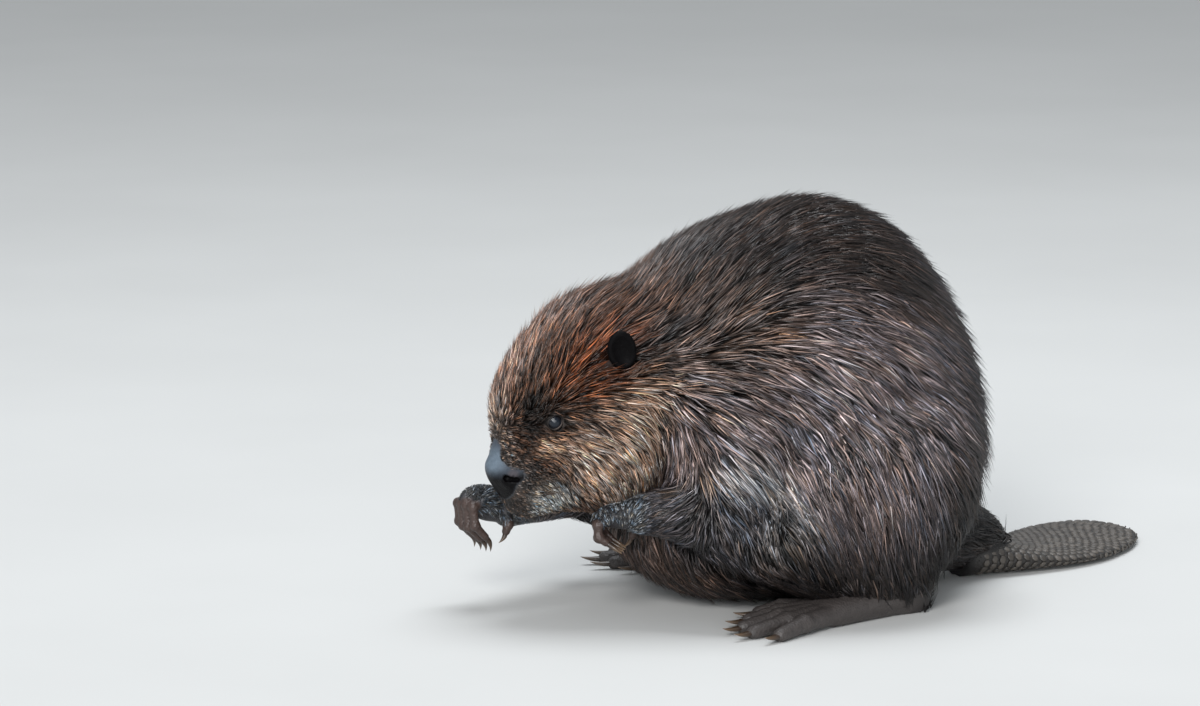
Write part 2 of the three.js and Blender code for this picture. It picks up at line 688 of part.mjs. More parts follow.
function addHindLeg(name, side) {
  const box = boxOn(side, [-110, 20, -30], [130, 160, 190]);
  const thigh = bodyPart(...box, STEP.hindLeg, trunkField).intersect(thighCutter(side, 0));
  addPiece(`hind_leg_${name}`, without(thigh, [hindFoot(side, CUT)]), finish(COLOURS.fur));
  addPiece(`hind_foot_${name}`, hindFoot(side), finish(COLOURS.paw));
  addClaws(`claw_hind_${name}`, hindClaws(side), HIND_CLAW);
}

const armCutters = SIDES.flatMap(([, side]) => [
  upperArmCutter(side, CUT),
  forearmCutter(side, CUT),
  forepaw(side, CUT),
]);
const legCutters = SIDES.flatMap(([, side]) => [thighCutter(side, CUT), footEnvelope(side)]);
addHead(armCutters);
addTrunk([...armCutters, ...legCutters]);
for (const [name, side] of SIDES) {
  addForeleg(name, side);
  addHindLeg(name, side);
}

// The origin is on the floor, in the middle of the whole animal.
const bounds = new THREE.Box3().setFromObject(beaver);
const middle = bounds.getCenter(new THREE.Vector3());
beaver.position.set(-middle.x, -middle.y, -bounds.min.z);
const model = new THREE.Group();
model.add(beaver);

export default model;
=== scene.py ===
"""A North American beaver hunched on its haunches, as a life-size museum model: its looks.

The shape is worked out in millimetres, in the part's own field: it faces -X, its left side is towards -Y
and the floor is the plane Z = 0. One skin lies inside the part's solids by the depth of the coat, and the
coat is made of closed tufts that start on the skin and end at the solids' surface.
"""

import math

import bpy
import numpy as np
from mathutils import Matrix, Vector, kdtree


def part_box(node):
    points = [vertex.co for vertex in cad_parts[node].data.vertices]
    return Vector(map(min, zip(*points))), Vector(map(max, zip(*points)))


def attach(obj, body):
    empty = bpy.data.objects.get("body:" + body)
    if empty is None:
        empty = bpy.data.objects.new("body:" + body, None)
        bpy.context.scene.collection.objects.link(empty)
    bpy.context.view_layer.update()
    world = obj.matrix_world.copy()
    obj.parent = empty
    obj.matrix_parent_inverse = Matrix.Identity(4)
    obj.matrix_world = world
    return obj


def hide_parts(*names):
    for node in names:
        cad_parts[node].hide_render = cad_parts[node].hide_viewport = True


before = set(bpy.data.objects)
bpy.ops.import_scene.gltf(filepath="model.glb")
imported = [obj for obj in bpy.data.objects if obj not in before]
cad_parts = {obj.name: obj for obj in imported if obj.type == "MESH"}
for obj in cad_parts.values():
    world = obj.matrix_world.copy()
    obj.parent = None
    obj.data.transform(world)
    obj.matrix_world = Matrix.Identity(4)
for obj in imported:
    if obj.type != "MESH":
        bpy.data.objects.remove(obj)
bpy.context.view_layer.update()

MM = 0.001
LEFT, RIGHT = -1, 1
SIDES = {"left": LEFT, "right": RIGHT}
SEED = 20

# ---------------------------------------------------------------- the animal's shape, as in the part


def pair(left, right):
    return {LEFT: np.array(left, float), RIGHT: np.array(right, float)}


HEAD_PITCH = math.radians(42)
EYE_LINE = np.array([-194.6, 0, 143.8])
FORWARD = np.array([-math.cos(HEAD_PITCH), 0, -math.sin(HEAD_PITCH)])
CROWN = np.array([-math.sin(HEAD_PITCH), 0, math.cos(HEAD_PITCH)])
ACROSS = np.array([0.0, 1.0, 0.0])
UP = np.array([0.0, 0.0, 1.0])
HEAD_AXES = np.stack([FORWARD, ACROSS, CROWN])

# In the head's axes, eggs as middle and radii, limbs as both ends and their radii.
CRANIUM = ((-42, 0, -2), (62, 55, 44))
BROW = ((-12, 0, 2), (44, 40, 33))
CHEEK = ((-35, 26, -32), (47, 33, 40))
THROAT = ((-22, 12, -62), (44, 34, 33))
MUZZLE = ((5, 0, -12), (34, 0, -14), 31, 19.5)
JAW = ((4, 0, -54), (44, 0, -38), 30, 18)
LIP = ((31, 13, -31), (24, 16, 21))
NOSE = ((48, 0, -17), (9.5, 14.5, 16))
NOSE_PAD = ((52, 0, -16), (13, 18, 14))
NOSE_WING = ((48, 13, -15.5), (42.5, 19, -16.5), 8, 5.5)
NOSE_TOP = ((46, 0, -6), (40.5, 0, 1), 12, 9)
WING = ((47.5, 13.5, -15.5), (41.5, 17.5, -17.5), 6.4, 5.6)
NOSTRIL = ((49.4, 15.6, -13.2), (45.2, 20.6, -17.2), 2.9, 1.8)
CLEFT = ((58.5, 0, -24), (61.5, 0, -37), 1.3, 1.8)
MOUTH = ((60, 3, -45), (45, 14.5, -53), (28, 19, -65))

CHEST = ((-45, 0, 158), (94, 90, 104))
HUMP = ((10, 0, 160), (113, 116, 126))
RUMP = ((34, 0, 112), (104, 126, 114))
BELLY = ((-42, 0, 68), (100, 96, 70))
NECK = ((-60, 0, 176), (-133.8, 0, 169), 80, 60)
STALK = ((88, 0, 48), (150, 10, 25), 48, 22)
THIGH = ((18, 90, 88), (86, 47, 84))
KNEE, KNEE_RADIUS = (-50, 96, 64), 38
HEEL, HEEL_RADIUS = (50, 90, 13), 17

SHOULDER = pair((-80, -56, 134), (-84, 56, 134))
ELBOW = pair((-90, -86, 80), (-120, 80, 74))
UPPER_ARM_RADII, FOREARM_RADII = (44, 27), (24, 13)
WRIST = pair((-139, -61, 77), (-198, 46, 67))
KNUCKLES = pair((-161, -48, 75), (-228, 39, 76))
BONES = pair((9, 10, 7), (10, 15, 12))
PALM_HALF_WIDTH, PALM_THICK, CUFF_RADIUS = 12.5, 8.5, 8
FINGER_JOINT, TOE_JOINT = 3.7, 6.6
HAND_FUR = 1.2
FINGER_SPACING, FINGER_ROOT, FINGER_TIP = 6.2, 4, 3
THUMB_ROOT, THUMB_TIP, THUMB_LENGTH = 3.9, 2.9, 14

FOOT_SPLAY = math.radians(12)
SOLE_LENGTH, SOLE_HEEL, SOLE_FRONT = 74, 13.5, 9
TOE_REACH = (104, 124, 140, 144, 134)
TOE_TIP_ACROSS = (-33, -17, 0, 17, 35)
TOE_ROOT_ACROSS = (-14, -7, 0, 8, 15)
TOE_ROOT, TOE_TIP = 7.5, 5
PRESSED = 0.6  # how deep a resting foot or tail is pressed flat

TAIL_START, TAIL_LENGTH, TAIL_HALF_WIDTH = (132, 6), 212, 48
TAIL_THICK = {"root": 30, "middle": 15, "tip": 7}
TAIL_HEADING, TAIL_CURL = math.radians(10), math.radians(54)
TAIL_FILLED_AT, TAIL_ROUNDED_FROM = 0.55, 0.62  # shares of the length

EYE_AT, EYE_RADIUS = (1, 35, 0), 6.8
EAR_AT, EAR_RADII, EAR_SCOOP = (-64, 59, 10), (10.5, 6.5, 16.5), (8, 4.6, 13)
EAR_LEAN = (-0.35, 0.35, 0.9)
# The crease between the flank and the thigh.
CREASE = ((-76, 118, 78), (-35, 121, 123), (4, 126, 148), (50, 120, 158))
CREASE_RADII, CREASE_EDGE = (6, 5), 9
BODY_BLEND, HEAD_BLEND, LEG_BLEND, ARM_BLEND = 30, 24, 18, 14

# How deep the skin lies under the tips of the coat.
DEPTH = dict(trunk=14, thigh=12, shank=8, arm=10, forearm=6, wrist=1.2, stalk=11, stump=1.5)
HEAD_DEPTH = ((-90, 13), (-60, 11), (-25, 8), (5, 5), (25, 3), (40, 1.4), (50, 0.3))


def unit(v):
    v = np.asarray(v, float)
    return v / np.linalg.norm(v)


def lengths(v):
    return np.sqrt((v**2).sum(0))


def unit_rows(v):
    return v / (lengths(v) + 1e-9)


def halved(p):
    """Both sides folded onto one."""
    return p[0], np.abs(p[1]), p[2]


def sided(v, side):
    return np.array([v[0], v[1] * side, v[2]], float)


def from_head(v):
    return EYE_LINE + np.asarray(v, float) @ HEAD_AXES


def in_head(p):
    return np.stack([sum((p[k] - EYE_LINE[k]) * axis[k] for k in range(3)) for axis in HEAD_AXES])


def turn_of(source, target):
    """The matrix that turns one direction into another by the shortest way."""
    return np.array(Vector(source).rotation_difference(Vector(unit(target))).to_matrix())


eye_low, eye_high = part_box("eye_left")
SHIFT = np.array((eye_low + eye_high) / 2) / MM - from_head(sided(EYE_AT, LEFT))

# ---------------------------------------------------------------- field shapes, on points of shape (3, N)


def blend(a, b, k):
    h = np.maximum(k - np.abs(a - b), 0) / k
    return np.minimum(a, b) - h * h * k / 4


def carve(a, b, k):
    """What is left of a where b is cut away."""
    return -blend(-a, b, k)


def egg(p, at, r):
    q = [(p[k] - at[k]) / r[k] for k in range(3)]
    k0 = np.sqrt(q[0] ** 2 + q[1] ** 2 + q[2] ** 2)
    k1 = np.sqrt((q[0] / r[0]) ** 2 + (q[1] / r[1]) ** 2 + (q[2] / r[2]) ** 2)
    return k0 * (k0 - 1) / (k1 + 1e-9)


def turned_egg(p, at, r, turn):
    q = [sum((p[k] - at[k]) * turn[k, i] for k in range(3)) for i in range(3)]
    return egg(q, (0, 0, 0), r)


def limb(p, a, b, ra, rb):
    ab = [b[k] - a[k] for k in range(3)]
    q = [p[k] - a[k] for k in range(3)]
    t = np.clip(sum(q[k] * ab[k] for k in range(3)) / sum(x * x for x in ab), 0, 1)
    return np.sqrt(sum((q[k] - t * ab[k]) ** 2 for k in range(3))) - (ra + (rb - ra) * t)


def head_field(q):
    """The head's outer surface. q is in the head's own axes."""
    half = halved(q)
    d = egg(q, *CRANIUM)
    d = blend(d, egg(q, *BROW), 20)
    d = blend(d, egg(half, *CHEEK), 20)
    d = blend(d, egg(half, *THROAT), 20)
    d = blend(d, limb(q, *MUZZLE), 16)
    d = blend(d, limb(q, *JAW), 16)
    d = blend(d, egg(half, *LIP), 8)
    return blend(d, egg(q, *NOSE), 6)


def along_head(q):
    """How far forward each place counts as: the lips' coat is as long as that further back."""
    return q[0] - 12 * ramp(-q[2], 22, 34)


def head_depth(q):
    return np.interp(along_head(q), *zip(*HEAD_DEPTH))


def trunk_field(p, inner):
    """The trunk and thighs: the coat's tips at inner 0, the skin at inner 1."""
    deep = {k: v * inner for k, v in DEPTH.items()}
    half = halved(p)
    d = blend(egg(p, *CHEST), egg(p, *HUMP), BODY_BLEND)
    d = blend(d, egg(p, *RUMP), BODY_BLEND)
    d = blend(d, egg(p, *BELLY), BODY_BLEND)
    d = blend(d, limb(p, *NECK), BODY_BLEND) + deep["trunk"]
    d = blend(d, limb(p, *STALK[:2], STALK[2] - deep["stalk"], STALK[3] - deep["stump"]), 22)
    d = blend(d, egg(half, *THIGH) + deep["thigh"], LEG_BLEND)
    shank = limb(half, KNEE, HEEL, KNEE_RADIUS - deep["shank"], HEEL_RADIUS - deep["wrist"])
    d = blend(d, shank, LEG_BLEND)
    for side in (LEFT, RIGHT):
        radii = [r - deep["arm"] for r in UPPER_ARM_RADII]
        d = blend(d, limb(p, SHOULDER[side], ELBOW[side], *radii), BODY_BLEND)
    return d


def crease(p):
    half = halved(p)
    return np.minimum.reduce([limb(half, a, b, *CREASE_RADII) for a, b in zip(CREASE, CREASE[1:])])


def coated(p, inner):
    """Everything that the coat covers, forearms included."""
    q = in_head(p)
    d = blend(trunk_field(p, inner), head_field(q) + inner * head_depth(q), HEAD_BLEND)
    for side in (LEFT, RIGHT):
        radii = (FOREARM_RADII[0] - DEPTH["forearm"] * inner, FOREARM_RADII[1] - DEPTH["wrist"] * inner)
        d = blend(d, limb(p, ELBOW[side], WRIST[side], *radii), ARM_BLEND)
        hand = (WRIST[side] + KNUCKLES[side]) / 2
        fur = HAND_FUR * (1 - inner)
        d = locally(d, p, hand, 62, lambda a, b, s=side: blend(a, forepaw_field(b, s) - fur, 5))
    return carve(d, crease(p), CREASE_EDGE)


def arm_shares(p, side):
    """How far each point is on the forearm, where along it, and how far it is on the hand."""
    reach = WRIST[side] - ELBOW[side]
    t = sum((p[k] - ELBOW[side][k]) * reach[k] for k in range(3)) / (reach @ reach)
    arm = ramp(-limb(p, ELBOW[side], WRIST[side], *FOREARM_RADII), -12, -1)
    return arm, t, ramp(-forepaw_field(p, side), -4, -1.5) * ramp(t, 0.75, 0.95)


def slope(field, p, h=0.4):
    """The field's value and gradient."""
    value = field(p)
    steps = np.eye(3) * h
    return value, np.stack([(field(p + e[:, None]) - value) / h for e in steps])


# ---------------------------------------------------------------- paws, feet, ears and nose of the skin


def fingers_of(side):
    """Joints of the thumb and the four fingers, curled down and back as round a stick."""
    wrist, knuckles, bones = WRIST[side], KNUCKLES[side], BONES[side]
    along = unit(knuckles - wrist)
    across = unit(np.cross(UP, along)) * -side
    rows = []
    root = wrist + (knuckles - wrist) * 0.3 - across * PALM_HALF_WIDTH * 0.85 - UP * 3
    bend = root - UP * THUMB_LENGTH * 0.6 - across * 3
    rows.append([root, bend, bend - UP * THUMB_LENGTH * 0.4 + along * 2])
    for i, share in enumerate((0.88, 1, 1, 0.86)):
        out = (i - 1.5) * FINGER_SPACING
        a = knuckles + across * out - along * 3
        b = a + along * bones[0] * share - UP * 0.45 * bones[0]
        c = b - UP * bones[1] * share - along * 0.1 * bones[1] + across * 0.08 * out
        d = c - UP * 0.55 * bones[2] - along * 0.85 * bones[2] * share
        rows.append([a, b, c, d])
    return rows


def toes_of(side):
    """Root, middle and tip of each toe, inner toe first."""
    forward = np.array([-math.cos(FOOT_SPLAY), side * math.sin(FOOT_SPLAY), 0])
    across = np.array([math.sin(FOOT_SPLAY), side * math.cos(FOOT_SPLAY), 0])
    rows = []
    for reach, tip_across, root_across in zip(TOE_REACH, TOE_TIP_ACROSS, TOE_ROOT_ACROSS):
        root = sided(HEEL, side) + forward * SOLE_LENGTH + across * root_across
        tip = sided(HEEL, side) + forward * reach + across * tip_across
        root[2] = SOLE_FRONT - PRESSED
        tip[2] = TOE_TIP - PRESSED
        middle = root + (tip - root) * 0.55 + UP * 1.6
        rows.append([root, middle, tip])
    return rows


def bent(p, joints, r_root, r_tip, k=2.0):
    """A limb through joints."""
    radii = np.linspace(r_root, r_tip, len(joints))
    d = limb(p, joints[0], joints[1], radii[0], radii[1])
    for a, b, ra, rb in zip(joints[1:-1], joints[2:], radii[1:-1], radii[2:]):
        d = blend(d, limb(p, a, b, ra, rb), k)
    return d


def forepaw_field(p, side):
    wrist, knuckles = WRIST[side], KNUCKLES[side]
    turn = turn_of((1, 0, 0), knuckles - wrist)
    long = np.linalg.norm(knuckles - wrist) / 2 + 8
    palm_at = wrist + (knuckles - wrist) * 0.55
    d = turned_egg(p, palm_at, (long, PALM_HALF_WIDTH, PALM_THICK), turn)
    cuff = [wrist + (ELBOW[side] - wrist) * 0.3, wrist, wrist + (knuckles - wrist) * 0.5]
    d = blend(d, bent(p, cuff, FOREARM_RADII[1], CUFF_RADIUS), 4)
    for i, joints in enumerate(fingers_of(side)):
        radii = (THUMB_ROOT, THUMB_TIP) if i == 0 else (FINGER_ROOT - 0.5, FINGER_TIP - 0.3)
        digit = bent(p, joints, *radii, 1.5)
        for joint in joints[1:-1]:
            digit = blend(digit, egg(p, joint, (FINGER_JOINT,) * 3), 1.5)
        d = blend(d, digit, 1.0)
    return d


def digits_field(p, side):
    """The thumb and the fingers from their first bend on."""
    digits = [joints[1:] for joints in fingers_of(side)]
    return np.minimum.reduce([bent(p, joints, FINGER_ROOT, FINGER_TIP) for joints in digits])


def hind_foot_field(p, side):
    heel = sided(HEEL, side)
    rows = toes_of(side)
    d = None
    for joints in rows:
        sole = limb(p, heel, joints[0], SOLE_HEEL, SOLE_FRONT)
        d = sole if d is None else blend(d, sole, 5)
    for joints in rows:
        d = blend(d, bent(p, joints, TOE_ROOT, TOE_TIP), 1.5)
        d = blend(d, egg(p, joints[1], (TOE_JOINT,) * 3), 2)
    for near, far in zip(rows[:-1], rows[1:]):
        for share in (0.2, 0.4, 0.6, 0.8):
            root = near[0] + (far[0] - near[0]) * share
            tip = near[2] + (far[2] - near[2]) * share
            tip = tip + (root - tip) * (0.1 + 0.9 * share * (1 - share))
            d = blend(d, limb(p, root - UP * 4.6, tip - UP * 2.2, 2.6, 1.7), 2)
    return d


def tail_line(count=60):
    """Stations along the paddle: place, direction, half width and half thickness."""
    t = np.linspace(0, 1, count)
    fine = np.linspace(0, 1, 12 * 40 + 1)
    heading = TAIL_HEADING + TAIL_CURL * fine
    step = TAIL_LENGTH / (len(fine) - 1)
    x = TAIL_START[0] + np.concatenate([[0], np.cumsum(np.cos(heading[:-1]))]) * step
    y = TAIL_START[1] + np.concatenate([[0], np.cumsum(np.sin(heading[:-1]))]) * step
    spread = 0.42 + 0.58 * np.sin(np.minimum(t / TAIL_FILLED_AT, 1) * math.pi / 2) ** 1.6
    past = np.maximum((t - TAIL_ROUNDED_FROM) / (1 - TAIL_ROUNDED_FROM), 0)
    rounding = np.sqrt(np.maximum(1 - past**2.4, 0))
    bulge = np.exp(-((t / 0.22) ** 2))
    flat = TAIL_THICK["middle"] + (TAIL_THICK["tip"] - TAIL_THICK["middle"]) * t
    thick = flat * (1 - bulge) + TAIL_THICK["root"] * bulge
    return {
        "t": t,
        "x": np.interp(t, fine, x),
        "y": np.interp(t, fine, y),
        "heading": TAIL_HEADING + TAIL_CURL * t,
        "middle": thick / 2 - PRESSED,
        "wide": TAIL_HALF_WIDTH * spread * rounding,
        "high": thick / 2 * np.sqrt(np.minimum(rounding + 0.25, 1)),
    }


TAIL = tail_line()


def tail_coordinates(x, y):
    """Share of the tail's length and the distance to the right of its middle line."""
    far = (x[:, None] - TAIL["x"]) ** 2 + (y[:, None] - TAIL["y"]) ** 2
    near = np.argmin(far, 1)
    heading = TAIL["heading"][near]
    dx, dy = x - TAIL["x"][near], y - TAIL["y"][near]
    t = TAIL["t"][near] + (dx * np.cos(heading) + dy * np.sin(heading)) / TAIL_LENGTH
    return t, -dx * np.sin(heading) + dy * np.cos(heading)


def tail_field(p):
    t, aside = tail_coordinates(p[0], p[1])
    wide = np.maximum(np.interp(t, TAIL["t"], TAIL["wide"]), 0.8)
    high = np.interp(t, TAIL["t"], TAIL["high"])
    up = p[2] - np.interp(t, TAIL["t"], TAIL["middle"])
    k0 = np.sqrt((aside / wide) ** 2 + (up / high) ** 2)
    k1 = np.sqrt((aside / wide**2) ** 2 + (up / high**2) ** 2)
    d = k0 * (k0 - 1) / (k1 + 1e-9)
    past = np.maximum(-t, t - 1) * TAIL_LENGTH
    return np.maximum(d, past)


EAR_TURN = {side: turn_of((0, 0, 1), sided(EAR_LEAN, side)) for side in (LEFT, RIGHT)}


def ear_field(p, side):
    """A thin shell, hollow on its outer face, with a rolled rim."""
    at = from_head(sided(EAR_AT, side))
    turn = EAR_TURN[side]
    d = turned_egg(p, at, EAR_RADII, turn)
    hollow = at + unit((-0.3, side, 0)) * 5.6 + UP * 1.5
    return carve(d, turned_egg(p, hollow, EAR_SCOOP, turn), 1.5)


def mouth_line(half, r):
    return np.minimum(limb(half, *MOUTH[:2], r, r), limb(half, *MOUTH[1:], r, r * 0.7))


def snout_cuts(d, q):
    """The nose's wings, nostrils, the cleft and the mouth line. q is in the head's axes."""
    half = halved(q)
    d = blend(d, limb(half, *WING), 4)
    d = carve(d, limb(half, *NOSTRIL), 1.2)
    d = carve(d, limb(half, *CLEFT), 2)
    return carve(d, mouth_line(half, 1.8), 3)


def locally(d, p, at, reach, change):
    """The field d with change(d, p) made to it near a place."""
    near = sum((p[k] - at[k]) ** 2 for k in range(3)) < reach**2
    if near.any():
        d[near] = change(d[near], p[:, near])
    return d


def skin_field(p):
    d = coated(p, 1)
    d = locally(d, p, from_head((45, 0, -30)), 60, lambda a, b: snout_cuts(a, in_head(b)))
    for side in (LEFT, RIGHT):
        eye = from_head(sided(EYE_AT, side))
        socket = (EYE_RADIUS + 0.4,) * 3
        d = locally(d, p, eye, 22, lambda a, b, at=eye, r=socket: carve(a, egg(b, at, r), 1.5))
        ear = from_head(sided(EAR_AT, side))
        d = locally(d, p, ear, 40, lambda a, b, s=side: blend(a, ear_field(b, s), 3))
        foot = sided((-20, 98, 8), side)
        d = locally(d, p, foot, 110, lambda a, b, s=side: blend(a, hind_foot_field(b, s), 7))
    d = locally(d, p, (225, 60, 8), 150, lambda a, b: blend(a, tail_field(b), 6))
    return np.maximum(d, -p[2])


# ---------------------------------------------------------------- a mesh from a field


def grid_line(stops, steps):
    """Grid places from the first stop to the last, with a step of its own between each two stops."""
    spans = zip(stops, stops[1:], steps)
    parts = [np.linspace(a, b, max(round((b - a) / s), 1), endpoint=False) for a, b, s in spans]
    return np.concatenate([*parts, [stops[-1]]])


def lattice(axes):
    return np.stack([g.ravel() for g in np.meshgrid(*axes, indexing="ij")])


def sampled(field, lines, block=8):
    """The field on the grid, worked out in full only in the blocks near its surface."""
    shape = [len(line) for line in lines]
    counts = [math.ceil(n / block) for n in shape]
    starts = [np.arange(c) * block for c in counts]
    low = [line[s] for line, s in zip(lines, starts)]
    high = [line[np.minimum(s + block - 1, n - 1)] for line, s, n in zip(lines, starts, shape)]
    rough = field(lattice([(a + b) / 2 for a, b in zip(low, high)]))
    reach = lengths(lattice([(b - a) / 2 for a, b in zip(low, high)]))
    full = np.abs(rough) < 1.5 * reach + 6
    sign = np.where(rough < 0, -50, 50).astype(np.float32).reshape(counts)
    for axis in range(3):
        sign = np.repeat(sign, block, axis)
    value = sign[: shape[0], : shape[1], : shape[2]].copy()
    corners = lattice(starts)[:, full]
    inside_block = lattice([np.arange(block)] * 3)
    chunk = 600  # blocks at a time, to spare memory
    for first in range(0, corners.shape[1], chunk):
        ids = (corners[:, first : first + chunk, None] + inside_block[:, None]).reshape(3, -1)
        ids = ids[:, (ids < np.array(shape)[:, None]).all(0)]
        points = np.stack([line[i] for line, i in zip(lines, ids)])
        value[tuple(ids)] = field(points)
    return value


def net_of(field, lines):
    """Surface nets: points (3, N), quads (M, 4), facing out."""
    value = sampled(field, lines)
    inside = value < 0
    shape = np.array(value.shape)
    stride = np.array([shape[1] * shape[2], shape[2], 1])
    cells, places, quads = [], [], []
    for axis in range(3):
        low = [slice(None)] * 3
        high = [slice(None)] * 3
        low[axis], high[axis] = slice(None, -1), slice(1, None)
        a = np.argwhere(inside[tuple(low)] != inside[tuple(high)])
        b = a.copy()
        b[:, axis] += 1
        va, vb = value[tuple(a.T)], value[tuple(b.T)]
        pa = np.stack([lines[k][a[:, k]] for k in range(3)])
        pb = np.stack([lines[k][b[:, k]] for k in range(3)])
        crossing = pa + (pb - pa) * (va / (va - vb))
        u, w = stride[(axis + 1) % 3], stride[(axis + 2) % 3]
        ring = np.stack([a @ stride - du * u - dw * w for du, dw in ((1, 1), (0, 1), (0, 0), (1, 0))], 1)
        quads.append(np.where((va < 0)[:, None], ring, ring[:, ::-1]))
        cells.append(ring.ravel())
        places.append(np.repeat(crossing, 4, 1))
    ids, index = np.unique(np.concatenate(cells), return_inverse=True)
    index = index.ravel()
    places = np.concatenate(places, 1)
    count = np.bincount(index)
    points = np.stack([np.bincount(index, places[k]) / count for k in range(3)])
    return points, np.searchsorted(ids, np.concatenate(quads))


def settled(field, points, rounds=2, most=1.5):
    """Points moved along the field's slope onto its surface."""
    for _ in range(rounds):
        value, grad = slope(field, points, 0.25)
        steep = lengths(grad) + 1e-6
        move = np.clip(-value / steep, -most, most)
        points = points + grad / steep * move
    return points


# ---------------------------------------------------------------- meshes


def linear(rgb):
    """Linear colour from an everyday 0 to 255 one."""
    c = np.asarray(rgb, float) / 255
    return np.where(c <= 0.04045, c / 12.92, ((c + 0.055) / 1.055) ** 2.4)


def mesh_piece(name, points, faces, materials, colours=None, uv=None, face_material=None):
    """An object from points (3, N) in field millimetres and faces (M, k)."""
    mesh = bpy.data.meshes.new(name)
    world = ((points.T + SHIFT) * MM).astype(np.float32)
    sides = faces.shape[1]
    mesh.vertices.add(len(world))
    mesh.vertices.foreach_set("co", world.ravel())
    mesh.loops.add(faces.size)
    mesh.loops.foreach_set("vertex_index", faces.astype(np.int32).ravel())
    mesh.polygons.add(len(faces))
    mesh.polygons.foreach_set("loop_start", np.arange(len(faces), dtype=np.int32) * sides)
    mesh.polygons.foreach_set("use_smooth", np.ones(len(faces), bool))
    if face_material is not None:
        mesh.polygons.foreach_set("material_index", face_material.astype(np.int32))
    for material in materials:
        mesh.materials.append(material)
    mesh.update(calc_edges=True)
    if colours is not None:
        layer = mesh.color_attributes.new("marks_and_painted_light", "FLOAT_COLOR", "POINT")
        rgba = np.concatenate([colours, np.ones((1, colours.shape[1]))]).T.astype(np.float32)
        layer.data.foreach_set("color", rgba.ravel())
    if uv is not None:
        layer = mesh.uv_layers.new(name="OFBake")
        layer.uv.foreach_set("vector", uv[:, faces.ravel()].T.astype(np.float32).ravel())
    piece = bpy.data.objects.new(name, mesh)
    bpy.context.scene.collection.objects.link(piece)
    return piece


# ---------------------------------------------------------------- markings and painted light of both skin and coat

# Nostril and throat are painted shade, and bridge and low are also used as painted shade in places.
# Ridge, rim and the nose's bright spot are painted highlights, and hand is a painted wet sheen.
TONES = {
    "flank": (140, 126, 126),
    "shoulder": (96, 80, 72),
    "grey": (174, 168, 166),
    "back": (56, 46, 42),
    "rump": (64, 59, 61),
    "low": (42, 39, 38),
    "wet": (48, 43, 42),
    "head": (90, 64, 49),
    "crown": (106, 77, 62),
    "rust": (116, 64, 35),
    "neck": (140, 118, 108),
    "tan": (216, 174, 146),
    "cheek": (232, 194, 170),
    "bridge": (32, 24, 20),
    "rim": (206, 186, 172),
    "ridge": (160, 124, 106),
    "muzzle": (120, 104, 94),
    "lip": (250, 248, 242),
    "throat": (78, 64, 58),
    "forearm": (80, 78, 82),
    "hand": (124, 130, 136),
    "ear": (10, 9, 10),
    "lid": (24, 18, 16),
    "under_lid": (78, 68, 63),
    "nose_top": (72, 79, 88),
    "nose_highlight": (98, 110, 121),
    "nose_front": (12, 11, 12),
    "nose_rim": (74, 70, 74),
    "nostril": (8, 7, 8),
    "lips": (46, 40, 38),
    "paw": (48, 47, 50),
    "finger": (60, 46, 41),
    "foot": (58, 53, 51),
    "tail": (36, 33, 31),
    "scale": (74, 68, 62),
    "claw_root": (44, 34, 28),
    "claw_tip": (112, 90, 68),
    "whisker": (74, 62, 54),
}


def ramp(x, a, b):
    """0 at a, 1 at b, smooth between."""
    t = np.clip((x - a) / (b - a), 0, 1)
    return t * t * (3 - 2 * t)


def spot(q, at, r):
    """1 at a place and 0 outside the radii round it."""
    far = np.sqrt(sum(((q[k] - at[k]) / r[k]) ** 2 for k in range(3)))
    return 1 - ramp(far, 0.35, 1.0)


def parts_at(p):
    """How far each point is on the head, and its place in the head's axes."""
    q = in_head(p)
    return ramp(trunk_field(p, 0) - head_field(q), -16, 16), q


def all_over(tone, count):
    return np.repeat(linear(TONES[tone])[:, None], count, 1)


def painted(base, tone, share):
    return base + (linear(TONES[tone])[:, None] - base) * share


def body_marks_and_shade(p):
    half = halved(p)
    c = all_over("flank", p.shape[1])
    for tone, share in (
        ("shoulder", spot(half, (-100, 60, 215), (80, 80, 70))),
        ("back", ramp(p[2] - 0.3 * half[1], 166, 222)),
        ("rump", ramp(p[0] + 0.15 * p[2], 50, 120)),
        ("low", ramp(-p[2], -135, -60) * 0.9),
        ("low", ramp(p[0], 20, 72) * ramp(-p[2], -165, -110) * 0.95),
        ("grey", spot(half, (-84, 112, 104), (46, 60, 48))),
        # Darker along the crease between flank and thigh: painted shade in the fold.
        ("low", ramp(-crease(p), -13, -2) * 0.6),
        ("wet", ramp(-p[2] - 0.25 * np.minimum(p[0] + 40, 0), -66, -20)),
        # The low front of the chest, under the head and arms, is darker: painted shade.
        ("throat", ramp(-p[0], 60, 110) * ramp(-p[2], -125, -85)),
    ):
        c = painted(c, tone, share)
    return c


